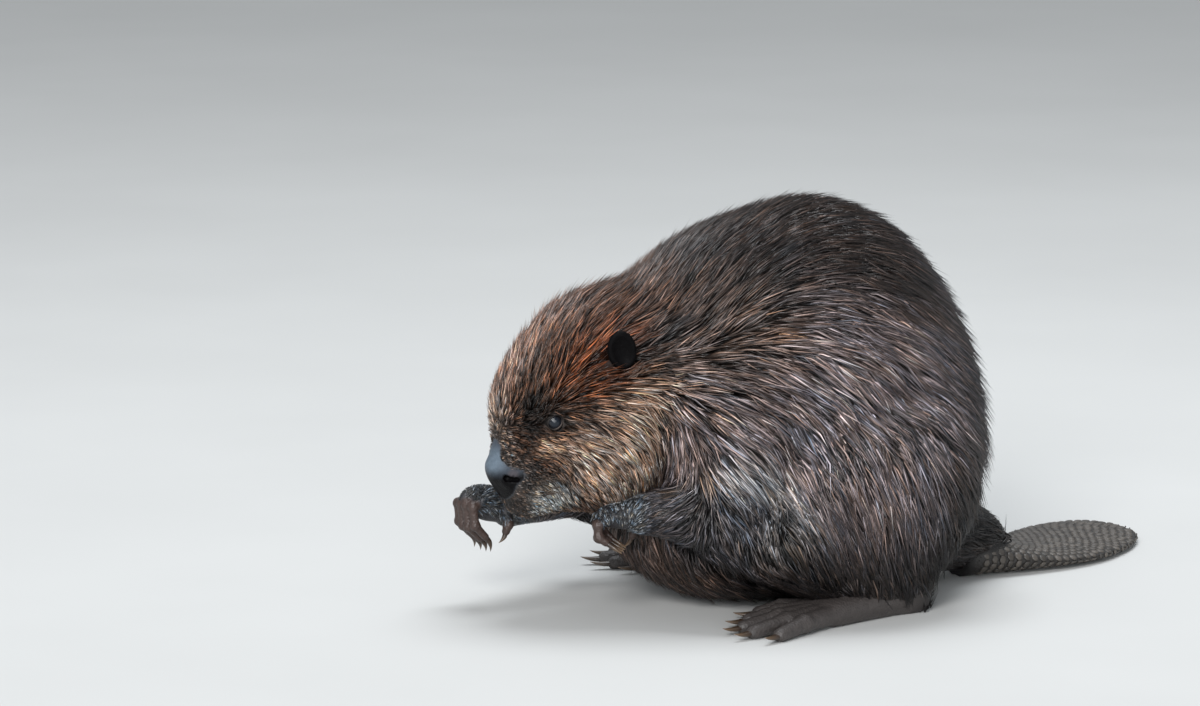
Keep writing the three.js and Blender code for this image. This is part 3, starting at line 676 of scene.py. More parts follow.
def head_marks_and_highlights(q):
    half = halved(q)
    c = all_over("head", q.shape[1])
    for tone, share in (
        ("crown", ramp(q[2], 18, 40)),
        ("neck", ramp(-q[0], 42, 66) * ramp(-q[2], -4, 16)),
        ("tan", spot(half, (-42, 66, -22), (40, 40, 30))),
        ("cheek", spot(half, (-8, 48, -48), (52, 44, 56))),
        ("rust", spot(half, (-36, 52, 16), (48, 34, 24))),
        ("tan", spot(half, (21, 34, -9), (16, 15, 13)) * 0.8),
        ("bridge", spot(half, (12, 32, 16), (19, 15, 13)) * 0.9),
        ("bridge", spot(half, (21, 30, 8), (14, 13, 11)) * 0.9),
        ("bridge", spot(half, (10, 38, 4), (11, 10, 9)) * 0.7),
        # Painted highlights: a light line along the front of the head's midline, and a lighter front edge
        # on the snout.
        ("ridge", ramp(-half[1], -22, -8) * ramp(q[0], -45, 0) * 0.85),
        ("rim", ramp(-half[1], -18, -6) * ramp(q[0], 8, 26) * 0.7),
        ("muzzle", ramp(q[0], 26, 42)),
        ("bridge", spot(half, (54, 8, -30), (14, 16, 13)) * 0.8),
        ("bridge", spot(half, (38, 27, -23), (14, 12, 8)) * 0.7),
        ("lip", spot(half, (37, 25, -43), (23, 20, 20))),
        ("lip", spot(half, (50, 14, -49), (12, 12, 9)) * 0.5),
    ):
        c = painted(c, tone, share)
    return c


def marks_and_painted_light(p):
    """The coat's colour at each point: its markings, with painted shade and painted highlights in places.
    """
    q = in_head(p)
    spread = 16 + 30 * ramp(p[2], 95, 135)
    head = ramp(trunk_field(p, 0) - head_field(q) + spread, 0, spread + 14)
    c = body_marks_and_shade(p)
    c = c + (head_marks_and_highlights(q) - c) * head
    # A painted shadow behind each ear.
    c = painted(c, "bridge", spot(halved(p), (-142, 64, 186), (30, 38, 26)) * 0.85)
    for s in (LEFT, RIGHT):
        arm, _, hand = arm_shares(p, s)
        c = painted(c, "forearm", np.maximum(arm * 0.8, hand))
        # The back of each paw is painted light blue-grey: a painted wet sheen.
        c = painted(c, "hand", hand * 0.85)
    return c


# ---------------------------------------------------------------- the lie of the coat

NOSE_TIP = (56, 0, -8)  # in the head's axes
# Strokes of a comb, seen from the side: place and slope in degrees. On the body the place is x and z
# and 0 degrees is straight back; on the head both are in the head's own axes.
BODY_COMB = {
    "nape": (-94, 254, 52),
    "withers": (-51, 257, 33),
    "shoulder": (-88, 224, 40),
    "behind ear": (-99, 200, 18),
    "neck side": (-96, 174, -28),
    "shoulder blade": (-41, 203, -10),
    "upper back": (-13, 250, -14),
    "loin": (28, 236, -38),
    "ribs": (-60, 166, -31),
    "flank": (-22, 176, -42),
    "hip": (6, 206, -31),
    "upper rump": (40, 200, -44),
    "rear flank": (20, 168, -58),
    "rump": (72, 172, -50),
    "arm pit": (-100, 107, -58),
    "lower ribs": (-78, 140, -42),
    "waist": (-44, 132, -53),
    "thigh": (-14, 132, -63),
    "rear thigh": (22, 122, -70),
    "low thigh": (0, 92, -77),
    "hock": (40, 92, -79),
    "low rump": (88, 116, -48),
    "low belly": (-90, 84, -66),
}
HEAD_COMB = {
    "brow": (-2, 27, 66),
    "forehead": (-27, 34, 60),
    "crown": (-51, 31, 50),
    "behind crown": (-66, 33, 42),
    "band": (-37, 10, 6),
    "ear base": (-62, -8, -14),
    "under ear": (-46, -10, -32),
    "behind eye": (-29, -11, -46),
    "below eye": (-6, -13, -60),
    "snout side": (22, -9, -38),
    "muzzle": (17, -22, -74),
    "cheek": (-26, -33, -78),
    "lower cheek": (-10, -36, -98),
    "jowl": (-42, -42, -88),
    "upper lip": (8, -40, -116),
    "jaw": (-23, -58, -114),
    "lip": (20, -49, -106),
    "chin": (0, -66, -120),
    "neck": (-78, -39, -70),
    "nape": (-84, 4, 4),
}
COMB_REACH = 16
BELLY_LIE, STALK_LIE = (0.9, 0, -0.2), (0.97, 0.2, -0.12)


def combed(comb, u, w):
    """The slope in radians at each place, drawn from the strokes round it."""
    near = [((u - x) ** 2 + (w - z) ** 2 + COMB_REACH**2) ** -2 for x, z, _ in comb.values()]
    return np.radians(sum(n * degrees for n, (_, _, degrees) in zip(near, comb.values())) / sum(near))


def head_lie(q):
    """The direction of the head's coat: away from the nose, then down over the cheeks."""
    r = unit_rows(q - np.array(NOSE_TIP, float)[:, None])
    a = combed(HEAD_COMB, q[0], q[2])
    reach = np.hypot(r[0], r[2])
    return HEAD_AXES.T @ np.stack([-np.cos(a) * reach, r[1], np.sin(a) * reach])


def lay_of(p, normal):
    """The coat's direction along the surface."""
    q = in_head(p)
    head = ramp(trunk_field(p, 0) - head_field(q), -34, 22)
    a = combed(BODY_COMB, p[0], p[2])
    body = np.stack([np.cos(a), np.zeros_like(a), np.sin(a)])
    under = ramp(-normal[2], 0.5, 0.9)
    body = body * (1 - under) + np.array([BELLY_LIE]).T * under
    stalk = ramp(p[0], 92, 128) * ramp(-p[2], -78, -48)
    body = body * (1 - stalk) + np.array([STALK_LIE]).T * stalk
    for s in (LEFT, RIGHT):
        arm, t, hand = arm_shares(p, s)
        share = arm * ramp(t, 0.0, 0.5)
        along = unit(WRIST[s] - ELBOW[s] - UP * 20)[:, None]
        body = body * (1 - share) + along * share
        body = body * (1 - hand) + unit(KNUCKLES[s] - WRIST[s])[:, None] * hand
    lay = head_lie(q) * head + body * (1 - head)
    lay = lay - normal * (lay * normal).sum(0)
    return unit_rows(lay)


# Tufts per square centimetre, length and width.
BODY_COAT = (38, 42, 1.65)
ARM_COAT = (52, 22, 1.3)
WRIST_COAT = (150, 6, 0.55)
# The same along the head, from its back to the nose, after the place.
HEAD_COAT = np.array(
    [
        (-90, 46, 34, 1.5),
        (-60, 56, 28, 1.3),
        (-30, 66, 22, 1.15),
        (0, 82, 15, 0.95),
        (20, 100, 9.5, 0.8),
        (35, 125, 5.5, 0.6),
        (46, 140, 3.4, 0.45),
    ]
)
BARE_ROUND_EYE = 7.9
CLEAR_OF_EYE, PUSHED_FROM_EYE = 5.8, 7.8
CLEAR_OF_EAR = np.array(EAR_RADII) * (0.8, 0.9, 0.72)
TOP_SHARE = 0.4  # of the tufts, those that reach the coat's surface
LOCK_SHARE = 0.18  # of those, the ones that a lock gathers round
# Shares of the coat's depth: how far under its surface a tuft's middle runs, as a range, and how far over
# it the tip ends, as mean and spread for top tufts and as a range for the others.
TOP_SUNK, UNDER_SUNK = (0.2, 0.42), (0.5, 0.75)
TOP_PROUD, UNDER_PROUD, STRAY_PROUD = (-0.03, 0.09), (-0.6, -0.3), (0.1, 0.35)
# How far a top tuft's tip is drawn to its lock's, as a share, and how much more where the coat is wet.
LOCK_PULL, WET_PULL = 0.62, 0.22
# Brightness: mean and spread of the logarithm for top tufts and ridges, a range for those under them.
# The ridges' brightness is a painted highlight along each lock, and the dark under tufts are painted
# shade.
TOP_SHADE, RIDGE_SHADE, UNDER_SHADE = (-0.46, 0.42), (0.82, 0.25), (0.05, 0.2)


def coat_at(p):
    """Density per square millimetre, length and width of the tufts rooted at each point."""
    head, q = parts_at(p)
    body = np.repeat(np.array(BODY_COAT, float)[:, None], p.shape[1], 1)
    body[1] *= 1 - 0.25 * ramp(-p[0], 40, 110)
    face = np.stack([np.interp(along_head(q), HEAD_COAT[:, 0], HEAD_COAT[:, k]) for k in (1, 2, 3)])
    made = body + (face - body) * head
    made[0] *= 1 - 0.55 * ramp(-p[2], -30, -12)
    for s in (LEFT, RIGHT):
        share, t, hand = arm_shares(p, s)
        arm = np.array(ARM_COAT, float)[:, None]
        paw = np.array(WRIST_COAT, float)[:, None]
        made = made + (arm + (paw - arm) * ramp(t, 0.35, 1.0) - made) * share
        made = made + (paw - made) * hand
    return made[0] / 100, made[1], made[2]


def bareness(p, normal):
    """True where no tufts grow: the nose, lips, eyes, ears, digits, feet and the tail's paddle."""
    q = in_head(p)
    bare = nose_leather(q) < -0.5
    bare |= mouth_line(halved(q), 2.2) < 0
    for s in (LEFT, RIGHT):
        bare |= egg(p, from_head(sided(EYE_AT, s)), (BARE_ROUND_EYE,) * 3) < 0
        bare |= ear_field(p, s) < 0.7
        wrist, knuckles = WRIST[s], KNUCKLES[s]
        past = sum((p[k] - wrist[k]) * unit(knuckles - wrist)[k] for k in range(3))
        bare |= (forepaw_field(p, s) < 1.0) & (normal[2] < -0.3) & (past > -4)
        bare |= digits_field(p, s) < 1.2
        bare |= hind_foot_field(p, s) < 0.8
    bare |= (tail_field(p) < 0.8) & (p[0] > 146)
    return bare | (p[2] < 0.3)


# ---------------------------------------------------------------- tufts

RING_TURNS = ((-0.5, 0.0), (0.5, 0.0), (0.0, 0.4))  # across and up, in widths
THREE_SIDES = ((0, 1), (1, 2), (2, 0))


def spikes(centres, widths, across, upward):
    """Closed three-sided spikes. centres is (rings + 1, 3, N); the last is the tip."""
    rings, count = len(centres) - 1, centres.shape[2]
    points = []
    for i in range(rings):
        for a, u in RING_TURNS:
            points.append(centres[i] + (across * a + upward * u) * widths[i])
    points.append(centres[-1])
    per = len(points)
    points = np.stack(points, 2).reshape(3, -1)
    faces = [(0, 1, 2)]
    for i in range(rings - 1):
        for a, b in THREE_SIDES:
            a, b = a + 3 * i, b + 3 * i
            faces += [(a, a + 3, b), (b, a + 3, b + 3)]
    last = 3 * (rings - 1)
    faces += [(last + a, per - 1, last + b) for a, b in THREE_SIDES]
    return points, (np.array(faces)[None] + (np.arange(count) * per)[:, None, None]).reshape(-1, 3)


def roots_on(points, quads, rng):
    """Root points spread over the skin by the coat's density."""
    corners = points[:, quads]
    normal = np.cross(corners[:, :, 2] - corners[:, :, 0], corners[:, :, 3] - corners[:, :, 1], axis=0)
    area = lengths(normal) / 2
    middle = corners.mean(2)
    density = coat_at(middle)[0]
    density[bareness(middle, unit_rows(normal))] = 0
    total = np.cumsum(area * density)
    count = int(total[-1])
    picks = np.searchsorted(total, (np.arange(count) + rng.random(count)) * total[-1] / count)
    picks = np.minimum(picks, len(total) - 1)
    u, v = rng.random(count), rng.random(count)
    c = corners[:, picks]
    return (c[:, :, 0] * (1 - u) + c[:, :, 1] * u) * (1 - v) + (c[:, :, 3] * (1 - u) + c[:, :, 2] * u) * v


def levelled(p, want):
    """Points moved to where the coat's outer field has the wanted value."""
    value, grad = slope(lambda x: coated(x, 0), p)
    steep = lengths(grad) + 1e-3
    return p + unit_rows(grad) * np.clip((want - value) / steep, -9, 9), unit_rows(grad)


def kept_off_eyes(p):
    """Points pushed aside where they would hang over an eye."""
    for s in (LEFT, RIGHT):
        eye = from_head(sided(EYE_AT, s))[:, None]
        away = p - eye
        near = (away**2).sum(0) < 16**2
        out = unit((-0.1, s, 0.05))[:, None]
        beside = away - out * (away * out).sum(0)
        far = lengths(beside) + 1e-6
        push = beside / far * (PUSHED_FROM_EYE - far)
        p = np.where(near & (far < PUSHED_FROM_EYE), p + push, p)
    return p


def make_coat(points, quads):
    """Roots, centre lines, widths and colours of all tufts.

    Light tufts that reach the surface lie over darker, shorter ones, whose darkness is painted shade in
    the coat's depth. Their tips draw together in locks round a tuft painted brighter, as a painted
    highlight.
    """
    rng = np.random.default_rng(SEED)
    root = roots_on(points, quads, rng)
    count = root.shape[1]
    _, length, width = coat_at(root)
    _, grad = slope(lambda x: coated(x, 1), root)
    normal = unit_rows(grad)
    depth = np.maximum(-coated(root, 0), 0.3)
    lay = lay_of(root, normal)
    across = np.cross(normal, lay, axis=0)
    head, q = parts_at(root)
    top = rng.random(count) < TOP_SHARE

    seeds = np.flatnonzero(top & (rng.random(count) < LOCK_SHARE))
    tree = kdtree.KDTree(len(seeds))
    for i, k in enumerate(seeds):
        tree.insert(root[:, k], i)
    tree.balance()
    clump = np.array([tree.find(root[:, k])[1] for k in range(count)])
    # These tufts, one in each lock, are painted brighter further on: a painted highlight along the lock.
    ridge = np.zeros(count, bool)
    ridge[seeds] = True

    def locked(sigma):
        return rng.normal(0, sigma, len(seeds))[clump]

    yaw = rng.normal(0, 0.08, count) + locked(0.11)
    lay = lay * np.cos(yaw) + across * np.sin(yaw)
    across = np.cross(normal, lay, axis=0)
    length = length * rng.uniform(0.75, 1.15, count) * (1 + locked(0.1)) * np.where(top, 1.1, 0.8)
    width = width * rng.uniform(0.7, 1.2, count) * np.where(top, 1.0, 1.2)

    middle = root + lay * length * 0.5
    sunk = np.where(top, rng.uniform(*TOP_SUNK, count), rng.uniform(*UNDER_SUNK, count))
    middle, out = levelled(middle, -depth * sunk)
    onward = lay_of(middle, out)
    bend = rng.normal(0, 0.1, count) + yaw * 0.8
    onward = onward * np.cos(bend) + np.cross(out, onward, axis=0) * np.sin(bend)
    crown = ramp(head, 0.2, 0.8) * ramp(q[2], -5, 25)
    over = rng.normal(*TOP_PROUD, count) + crown * 0.14
    proud = np.where(top, over, rng.uniform(*UNDER_PROUD, count)) + locked(0.05)
    rump = ramp(root[0], 40, 110) * ramp(root[2], 60, 110)
    stray = top & (rng.random(count) < 0.05 + 0.12 * crown + 0.13 * rump)
    proud = np.where(stray, rng.uniform(*STRAY_PROUD, count) + crown * 0.3 + rump * 0.4, proud)
    proud = np.where(ridge, np.maximum(proud, 0.04), proud)
    tip, _ = levelled(middle + onward * length * 0.5, depth * proud)

    pull = LOCK_PULL + WET_PULL * ramp(-root[2], -150, -60)
    pull = pull * rng.uniform(0.6, 1.15, count) * np.where(top, 1.0, 0.5) * ~stray
    middle = middle + (middle[:, seeds][:, clump] - middle) * pull * 0.3
    tip = tip + (tip[:, seeds][:, clump] - tip) * pull
    middle, tip = kept_off_eyes(middle), kept_off_eyes(tip)
    for p in (middle, tip):
        under = np.maximum(0.5 - p[2], 0)
        p[:2] += normal[:2] * under * 0.8
        p[2] = np.where(under > 0, rng.uniform(0.3, 2.0, count), p[2])
    keep = ((tip - root) ** 2).sum(0) < (1.35 * length + 2) ** 2
    keep &= ((middle - root) ** 2).sum(0) < (0.9 * length + 2) ** 2
    for s in (LEFT, RIGHT):
        eye, out, _, _ = eye_axes(s)
        ear = from_head(sided(EAR_AT, s) + np.array([-3, 0, 6]))
        for share in np.linspace(-0.8, 1, 13):
            p = middle + (tip - middle) * share if share > 0 else middle + (middle - root) * share
            away = p - eye[:, None]
            beside = away - out[:, None] * (out @ away)
            keep &= ((beside**2).sum(0) > CLEAR_OF_EYE**2) | ((away**2).sum(0) > 14**2) | (share < 0)
            keep &= turned_egg(p, ear, CLEAR_OF_EAR, EAR_TURN[s]) > 0
            close = np.flatnonzero(((p - ear[:, None]) ** 2).sum(0) < 30**2)
            keep[close] &= ear_field(p[:, close], s) > 0
    centres = np.stack([root - normal * 0.6, middle, tip])
    widths = (width, width * 0.85)
    # Under tufts are painted dark as shade in the coat's depth, and ridge tufts bright as highlights
    # along the locks.
    shade = np.where(top, np.exp(rng.normal(*TOP_SHADE, count)), rng.uniform(*UNDER_SHADE, count))
    shade = np.where(ridge, np.exp(rng.normal(*RIDGE_SHADE, count)), shade) * np.exp(locked(0.25))
    warmth = rng.normal(0, 1, count) * (0.07 + 0.05 * head) + locked(0.07)
    tone = marks_and_painted_light(root) * shade * np.stack([1 + warmth, 1 + 0 * warmth, 1 - warmth])
    return {
        "root": root[:, keep],
        "centres": centres[:, :, keep],
        "widths": [w[keep] for w in widths],
        "across": across[:, keep],
        "normal": normal[:, keep],
        "tone": tone[:, keep],
    }


def zones_of(p):
    """Each coat piece: its name, the middle it is unwrapped round, and its share of the roots.

    A root goes to the first piece that will have it.
    """
    head, q = parts_at(p)
    x, y, z = p
    return (
        ("coat_face_left", (-195, 0, 125), (head > 0.5) & (q[0] > -8) & (y < 0)),
        ("coat_face_right", (-195, 0, 125), (head > 0.5) & (q[0] > -8)),
        ("coat_crown", (-150, 0, 165), (head > 0.5) & (q[2] > 8)),
        ("coat_cheek_left", (-170, 0, 140), (head > 0.5) & (y < 0)),
        ("coat_cheek_right", (-170, 0, 140), head > 0.5),
        ("coat_tail_root", (100, 0, 45), (x > 96) & (z < 84)),
        ("coat_arm_left", (-105, -60, 90), (x < -78) & (y < -22) & (z < 150)),
        ("coat_arm_right", (-125, 60, 90), (x < -78) & (y > 22) & (z < 150)),
        ("coat_chest", (-85, 0, 110), (x < -78) & (z < 150)),
        ("coat_neck", (-105, 0, 160), x < -70),
        ("coat_belly", (-20, 0, 70), (z < 26) | (np.abs(y) < 50) & (z < 100) & (x < 60)),
        ("coat_back_front", (-20, 0, 170), (z > 218) & (x < 8)),
        ("coat_back_rear", (40, 0, 160), z > 218),
        ("coat_rump_left", (40, 0, 100), (x > 72) & (y < 0)),
        ("coat_rump_right", (40, 0, 100), x > 72),
        ("coat_flank_left", (-10, -20, 120), (z > 128) & (y < 0)),
        ("coat_flank_right", (-10, 20, 120), z > 128),
        ("coat_thigh_left", (10, -60, 80), y < 0),
        ("coat_thigh_right", (10, 60, 80), y >= 0),
    )


PATCH = 0.003  # size of a tuft's own patch on the bake map
# Where on it each of a tuft's seven points lies, in patches: two rings of three, then the tip.
PATCH_PLACES = ((-0.5, 0), (0.5, 0), (0, 0), (-0.4, 0.5), (0.4, 0.5), (0, 0.5), (0, 1))
# A tuft's dark root is painted shade in the coat's depth.
RING_SHADES = (0.12, 0.72, 1.5)  # from a tuft's root to its tip


def unwrapped(root, centre):
    """Each root's place on a map of the skin seen from a point inside it, spread evenly by angle."""
    d = unit_rows(root - np.array(centre, float)[:, None])
    middle = unit(d.mean(1))
    e1 = unit(np.cross(middle, (0.3, 0.1, 1.0)))
    e2 = np.cross(middle, e1)
    angle = np.arccos(np.clip(middle @ d, -1, 1))
    spread = angle / np.maximum(np.sin(angle), 1e-4)
    uv = np.stack([e1 @ d, e2 @ d]) * np.minimum(spread, 12)
    low, high = uv.min(1)[:, None], uv.max(1)[:, None]
    return 0.01 + 0.98 * (uv - low) / (high - low)


def build_coat(coat, material):
    zones = zones_of(coat["root"])
    zone = np.select([share for _, _, share in zones], np.arange(len(zones)), -1)
    shades = np.repeat(RING_SHADES, (3, 3, 1))
    offsets = np.array(PATCH_PLACES).T * PATCH
    for number, (name, centre, _) in enumerate(zones):
        mine = zone == number
        widths = [w[mine] for w in coat["widths"]]
        centres, across, normal = (coat[k][..., mine] for k in ("centres", "across", "normal"))
        points, faces = spikes(centres, widths, across, normal)
        points[2] = np.maximum(points[2], 0)
        colours = np.clip((coat["tone"][:, mine][:, :, None] * shades).reshape(3, -1), 0, 1)
        uv = unwrapped(coat["root"][:, mine], centre)
        uv = (uv[:, :, None] + offsets[:, None, :]).reshape(2, -1)
        piece = mesh_piece(name, points, faces, [material], colours, uv)
        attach(piece, "root")


# ---------------------------------------------------------------- materials


def material_of(name, build, **sockets):
    """A material. build(nodes, links, shader) adds its colour and bump; sockets are set on the shader."""
    made = bpy.data.materials.new(name)
    made.use_nodes = True
    nodes, links = made.node_tree.nodes, made.node_tree.links
    shader = nodes["Principled BSDF"]
    for socket, value in sockets.items():
        shader.inputs[socket.replace("_", " ")].default_value = value
    build(nodes, links, shader)
    return made


def noise_node(nodes, links, scale, detail=3.0):
    place = nodes.new("ShaderNodeTexCoord")
    noise = nodes.new("ShaderNodeTexNoise")
    noise.inputs["Scale"].default_value = scale
    noise.inputs["Detail"].default_value = detail
    links.new(place.outputs["Object"], noise.inputs["Vector"])
    return noise


def bump_from(nodes, links, shader, height, strength, distance):
    bump = nodes.new("ShaderNodeBump")
    bump.inputs["Strength"].default_value = strength
    bump.inputs["Distance"].default_value = distance
    links.new(height, bump.inputs["Height"])
    links.new(bump.outputs["Normal"], shader.inputs["Normal"])


def marked(dark, light, scale):
    """Colour from the markings and painted light, varied by noise between two brightnesses."""

    def build(nodes, links, shader):
        marks = nodes.new("ShaderNodeAttribute")
        marks.attribute_name = "marks_and_painted_light"
        noise = noise_node(nodes, links, scale)
        span = nodes.new("ShaderNodeMapRange")
        span.inputs["To Min"].default_value = dark
        span.inputs["To Max"].default_value = light
        links.new(noise.outputs["Fac"], span.inputs["Value"])
        vary = nodes.new("ShaderNodeVectorMath")
        vary.operation = "SCALE"
        links.new(marks.outputs["Color"], vary.inputs["Vector"])
        links.new(span.outputs["Result"], vary.inputs["Scale"])
        links.new(vary.outputs["Vector"], shader.inputs["Base Color"])
        fine = noise_node(nodes, links, scale * 8)
        bump_from(nodes, links, shader, fine.outputs["Fac"], 0.3, 0.0003)

    return build


def two_toned(dark, light, scale):
    """Two tones mixed by noise."""

    def build(nodes, links, shader):
        tones = nodes.new("ShaderNodeValToRGB")
        tones.color_ramp.elements[0].color = (*linear(dark), 1)
        tones.color_ramp.elements[1].color = (*linear(light), 1)
        links.new(noise_node(nodes, links, scale).outputs["Fac"], tones.inputs["Fac"])
        links.new(tones.outputs["Color"], shader.inputs["Base Color"])

    return build


def pebbled(dark, light, scale, strength, depth):
    """Colour as marked, with a pebbled bump."""

    def build(nodes, links, shader):
        marked(dark, light, scale * 0.35)(nodes, links, shader)
        place = nodes.new("ShaderNodeTexCoord")
        pebbles = nodes.new("ShaderNodeTexVoronoi")
        pebbles.inputs["Scale"].default_value = scale
        links.new(place.outputs["Object"], pebbles.inputs["Vector"])
        bump_from(nodes, links, shader, pebbles.outputs["Distance"], strength, depth)

    return build


def make_materials():
    nose = pebbled(0.7, 1.35, 900, 0.5, 0.0004)
    paw = pebbled(0.55, 1.5, 620, 0.7, 0.0006)
    ear = pebbled(0.6, 1.5, 800, 0.4, 0.0004)
    return {
        "fur": material_of("fur", marked(0.8, 1.2, 60), Roughness=0.34, Specular_IOR_Level=0.5),
        "skin": material_of("skin", marked(0.7, 1.2, 90), Roughness=0.7),
        "nose": material_of("nose", nose, Roughness=0.42, Specular_IOR_Level=0.07),
        "paw": material_of("paw", paw, Roughness=0.5),
        "ear": material_of("ear", ear, Roughness=0.6, Specular_IOR_Level=0.05),
        "scale": material_of("scale", marked(0.75, 1.25, 250), Roughness=0.42),
        "eye": material_of("eye", marked(0.8, 1.2, 400), Roughness=0.06, Specular_IOR_Level=0.4),
        "claw": material_of("claw", marked(0.7, 1.3, 220), Roughness=0.32),
        "whisker": material_of("whisker", marked(0.7, 1.3, 120), Roughness=0.4),
    }


# ---------------------------------------------------------------- skin

LINES = (
    grid_line((-264, -190, -110, -30, 130, 330), (1.2, 2.0, 3.2, 5.0, 3.8)),
    grid_line((-168, -60, -46, 46, 60, 168), (3.1, 2.0, 1.4, 2.0, 3.1)),
    grid_line((-3, 30, 48, 118, 210, 292), (1.6, 2.6, 1.4, 2.2, 5.0)),
)


def eye_axes(side):
    """The eye's middle and its outward, frontward and upward directions."""
    out = unit(np.array([0.12, side * 1.0, 0.1]) @ HEAD_AXES)
    front = unit(FORWARD - out * (FORWARD @ out))
    return from_head(sided(EYE_AT, side)), out, front, np.cross(out, front) * side


LID_HALF_WIDTH, UPPER_LID, LOWER_LID = 5.2, 4.2, 3.9
# The lid's section: how far past the opening's edge, and how far over the eyeball.
LID_SECTION = (
    (0.3, -0.6),
    (-0.05, 0.15),
    (0.15, 0.6),
    (0.8, 0.8),
    (1.6, 0.5),
    (2.6, -0.4),
    (4.6, -3.4),
    (2.0, -4.2),
)


def lid_ring(side):
    """A closed ring of lid round the eye: points (3, N) and quads."""
    eye, out, front, top = eye_axes(side)
    turns = np.linspace(0, 2 * math.pi, 40, endpoint=False)
    rows = []
    for a in turns:
        c, s = math.cos(a), math.sin(a)
        opening = 1 / math.hypot(c / LID_HALF_WIDTH, s / (UPPER_LID if s > 0 else LOWER_LID))
        row = []
        for past, rise in LID_SECTION:
            reach = opening + past
            ball = math.sqrt(max(EYE_RADIUS**2 - min(reach, EYE_RADIUS - 0.3) ** 2, 0))
            row.append(eye + (front * c + top * s) * reach + out * (ball + rise))
        rows.append(row)
    rings, steps = len(rows), len(rows[0])
    index = []
    for i in range(rings):
        for j in range(steps):
            a, b = i * steps + j, i * steps + (j + 1) % steps
            c, d = ((i + 1) % rings) * steps + (j + 1) % steps, ((i + 1) % rings) * steps + j
            index.append((a, b, c, d) if side == LEFT else (a, d, c, b))
    return np.array(rows).reshape(-1, 3).T, np.array(index)


def nose_leather(q):
    """Negative on the bare nose: its pad, its wings and the bare top behind it."""
    half = halved(q)
    d = blend(egg(half, *NOSE_PAD), limb(half, *NOSE_WING), 8)
    return blend(d, limb(half, *NOSE_TOP), 8)


def skin_tones(p):
    """The skin's colour at each point: its own, with painted shade and painted highlights in places."""
    q = in_head(p)
    half = halved(q)
    # Under the coat the skin takes the markings at a fifth of their brightness: painted shade deep in the
    # coat.
    c = marks_and_painted_light(p) * 0.2
    for s in (LEFT, RIGHT):
        hand = ramp(-forepaw_field(p, s), -2.4, -0.6)
        c = painted(c, "paw", hand)
        c = painted(c, "finger", hand * ramp(-digits_field(p, s), -3, 0))
        c = painted(c, "foot", ramp(-hind_foot_field(p, s), -2.4, -0.8) * ramp(-p[2], -36, -30))
        ear = turned_egg(p, from_head(sided(EAR_AT, s)), EAR_RADII, EAR_TURN[s])
        c = painted(c, "ear", ramp(-ear, -3, -1))
    c = painted(c, "tail", ramp(-tail_field(p), -1.6, -0.6) * ramp(p[0], 136, 142))
    c = painted(c, "lips", ramp(-mouth_line(half, 3.0), -2, 0))
    leather = ramp(-nose_leather(q), -1.2, 0.6)
    # The leather's blue-grey top is partly a painted sheen and its brighter spot a painted highlight;
    # nose_front darkens its front and underside.
    c = painted(c, "nose_top", leather)
    c = painted(c, "nose_highlight", leather * spot(half, (47, 4, 0), (13, 16, 13)) * 0.9)
    c = painted(c, "nose_front", leather * ramp(-q[2] + 0.5 * (q[0] - 50), 3, 14))
    c = painted(c, "nose_rim", leather * spot(half, (45, 19, -13), (6, 6, 5)) * 0.8)
    # The nostrils' hollows are painted near black: painted shade.
    return painted(c, "nostril", ramp(-limb(half, *NOSTRIL), -1.4, -0.2))


def skin_materials(p):
    """0 fur skin, 1 nose, 2 paw, 3 ear, at each face's middle."""
    q = in_head(p)
    kind = np.zeros(p.shape[1], int)
    for s in (LEFT, RIGHT):
        kind[forepaw_field(p, s) < 0.6] = 2
        kind[(hind_foot_field(p, s) < 1.0) & (p[2] < 34)] = 2
        kind[ear_field(p, s) < 0.8] = 3
    kind[(tail_field(p) < 0.8) & (p[0] > 140)] = 2
    kind[(nose_leather(q) < 0) & (kind == 0)] = 1
    return kind


def build_skin(materials):
    points, quads = net_of(skin_field, LINES)
    points = settled(skin_field, points)
    points[2] = np.maximum(points[2], 0)
    flesh = points.copy(), quads.copy()
    for side in (LEFT, RIGHT):
        more, ring = lid_ring(side)
        quads = np.concatenate([quads, ring + points.shape[1]])
        points = np.concatenate([points, more], 1)
    kind = skin_materials(points[:, quads].mean(2))
    colours = skin_tones(points)
    for side in (LEFT, RIGHT):
        eye, out, _, top = eye_axes(side)
        away = points - eye[:, None]
        beside = lengths(away - out[:, None] * (out @ away))
        lid = ramp(-lengths(away), -11.5, -9.5)
        colours = painted(colours, "lid", lid)
        low = ramp(-(top @ away), 1.5, 4.5) * ramp(-beside, -6.6, -5.6)
        colours = painted(colours, "under_lid", lid * low)
    worn = [materials[k] for k in ("skin", "nose", "paw", "ear")]
    piece = mesh_piece("skin", points, quads, worn, colours, face_material=kind)
    return piece, flesh


# ---------------------------------------------------------------- lofted pieces


def lofted(rings, sides):
    """A closed tube over elliptical rings, as points and triangles.

    A ring is its middle and two half axes: the first crossed with the second points along the tube.
    """
    turns = np.linspace(0, 2 * math.pi, sides, endpoint=False)
    points = [m + a * math.cos(t) + b * math.sin(t) for m, a, b in rings for t in turns]
    points += [rings[0][0], rings[-1][0]]
    first, last = len(points) - 2, len(points) - 1
    faces = []
    for i in range(len(rings)):
        for j in range(sides):
            a, b = i * sides + j, i * sides + (j + 1) % sides
            if i == 0:
                faces.append((first, b, a))
            if i + 1 == len(rings):
                faces.append((last, a, b))
            else:
                faces += [(a, b, a + sides), (b, b + sides, a + sides)]
    return np.array(points).T, np.array(faces)


def together(made):
    """Several (points, faces) as one."""
    starts = np.cumsum([0] + [points.shape[1] for points, _ in made])
    faces = [faces + start for (_, faces), start in zip(made, starts)]
    return np.concatenate([points for points, _ in made], 1), np.concatenate(faces)


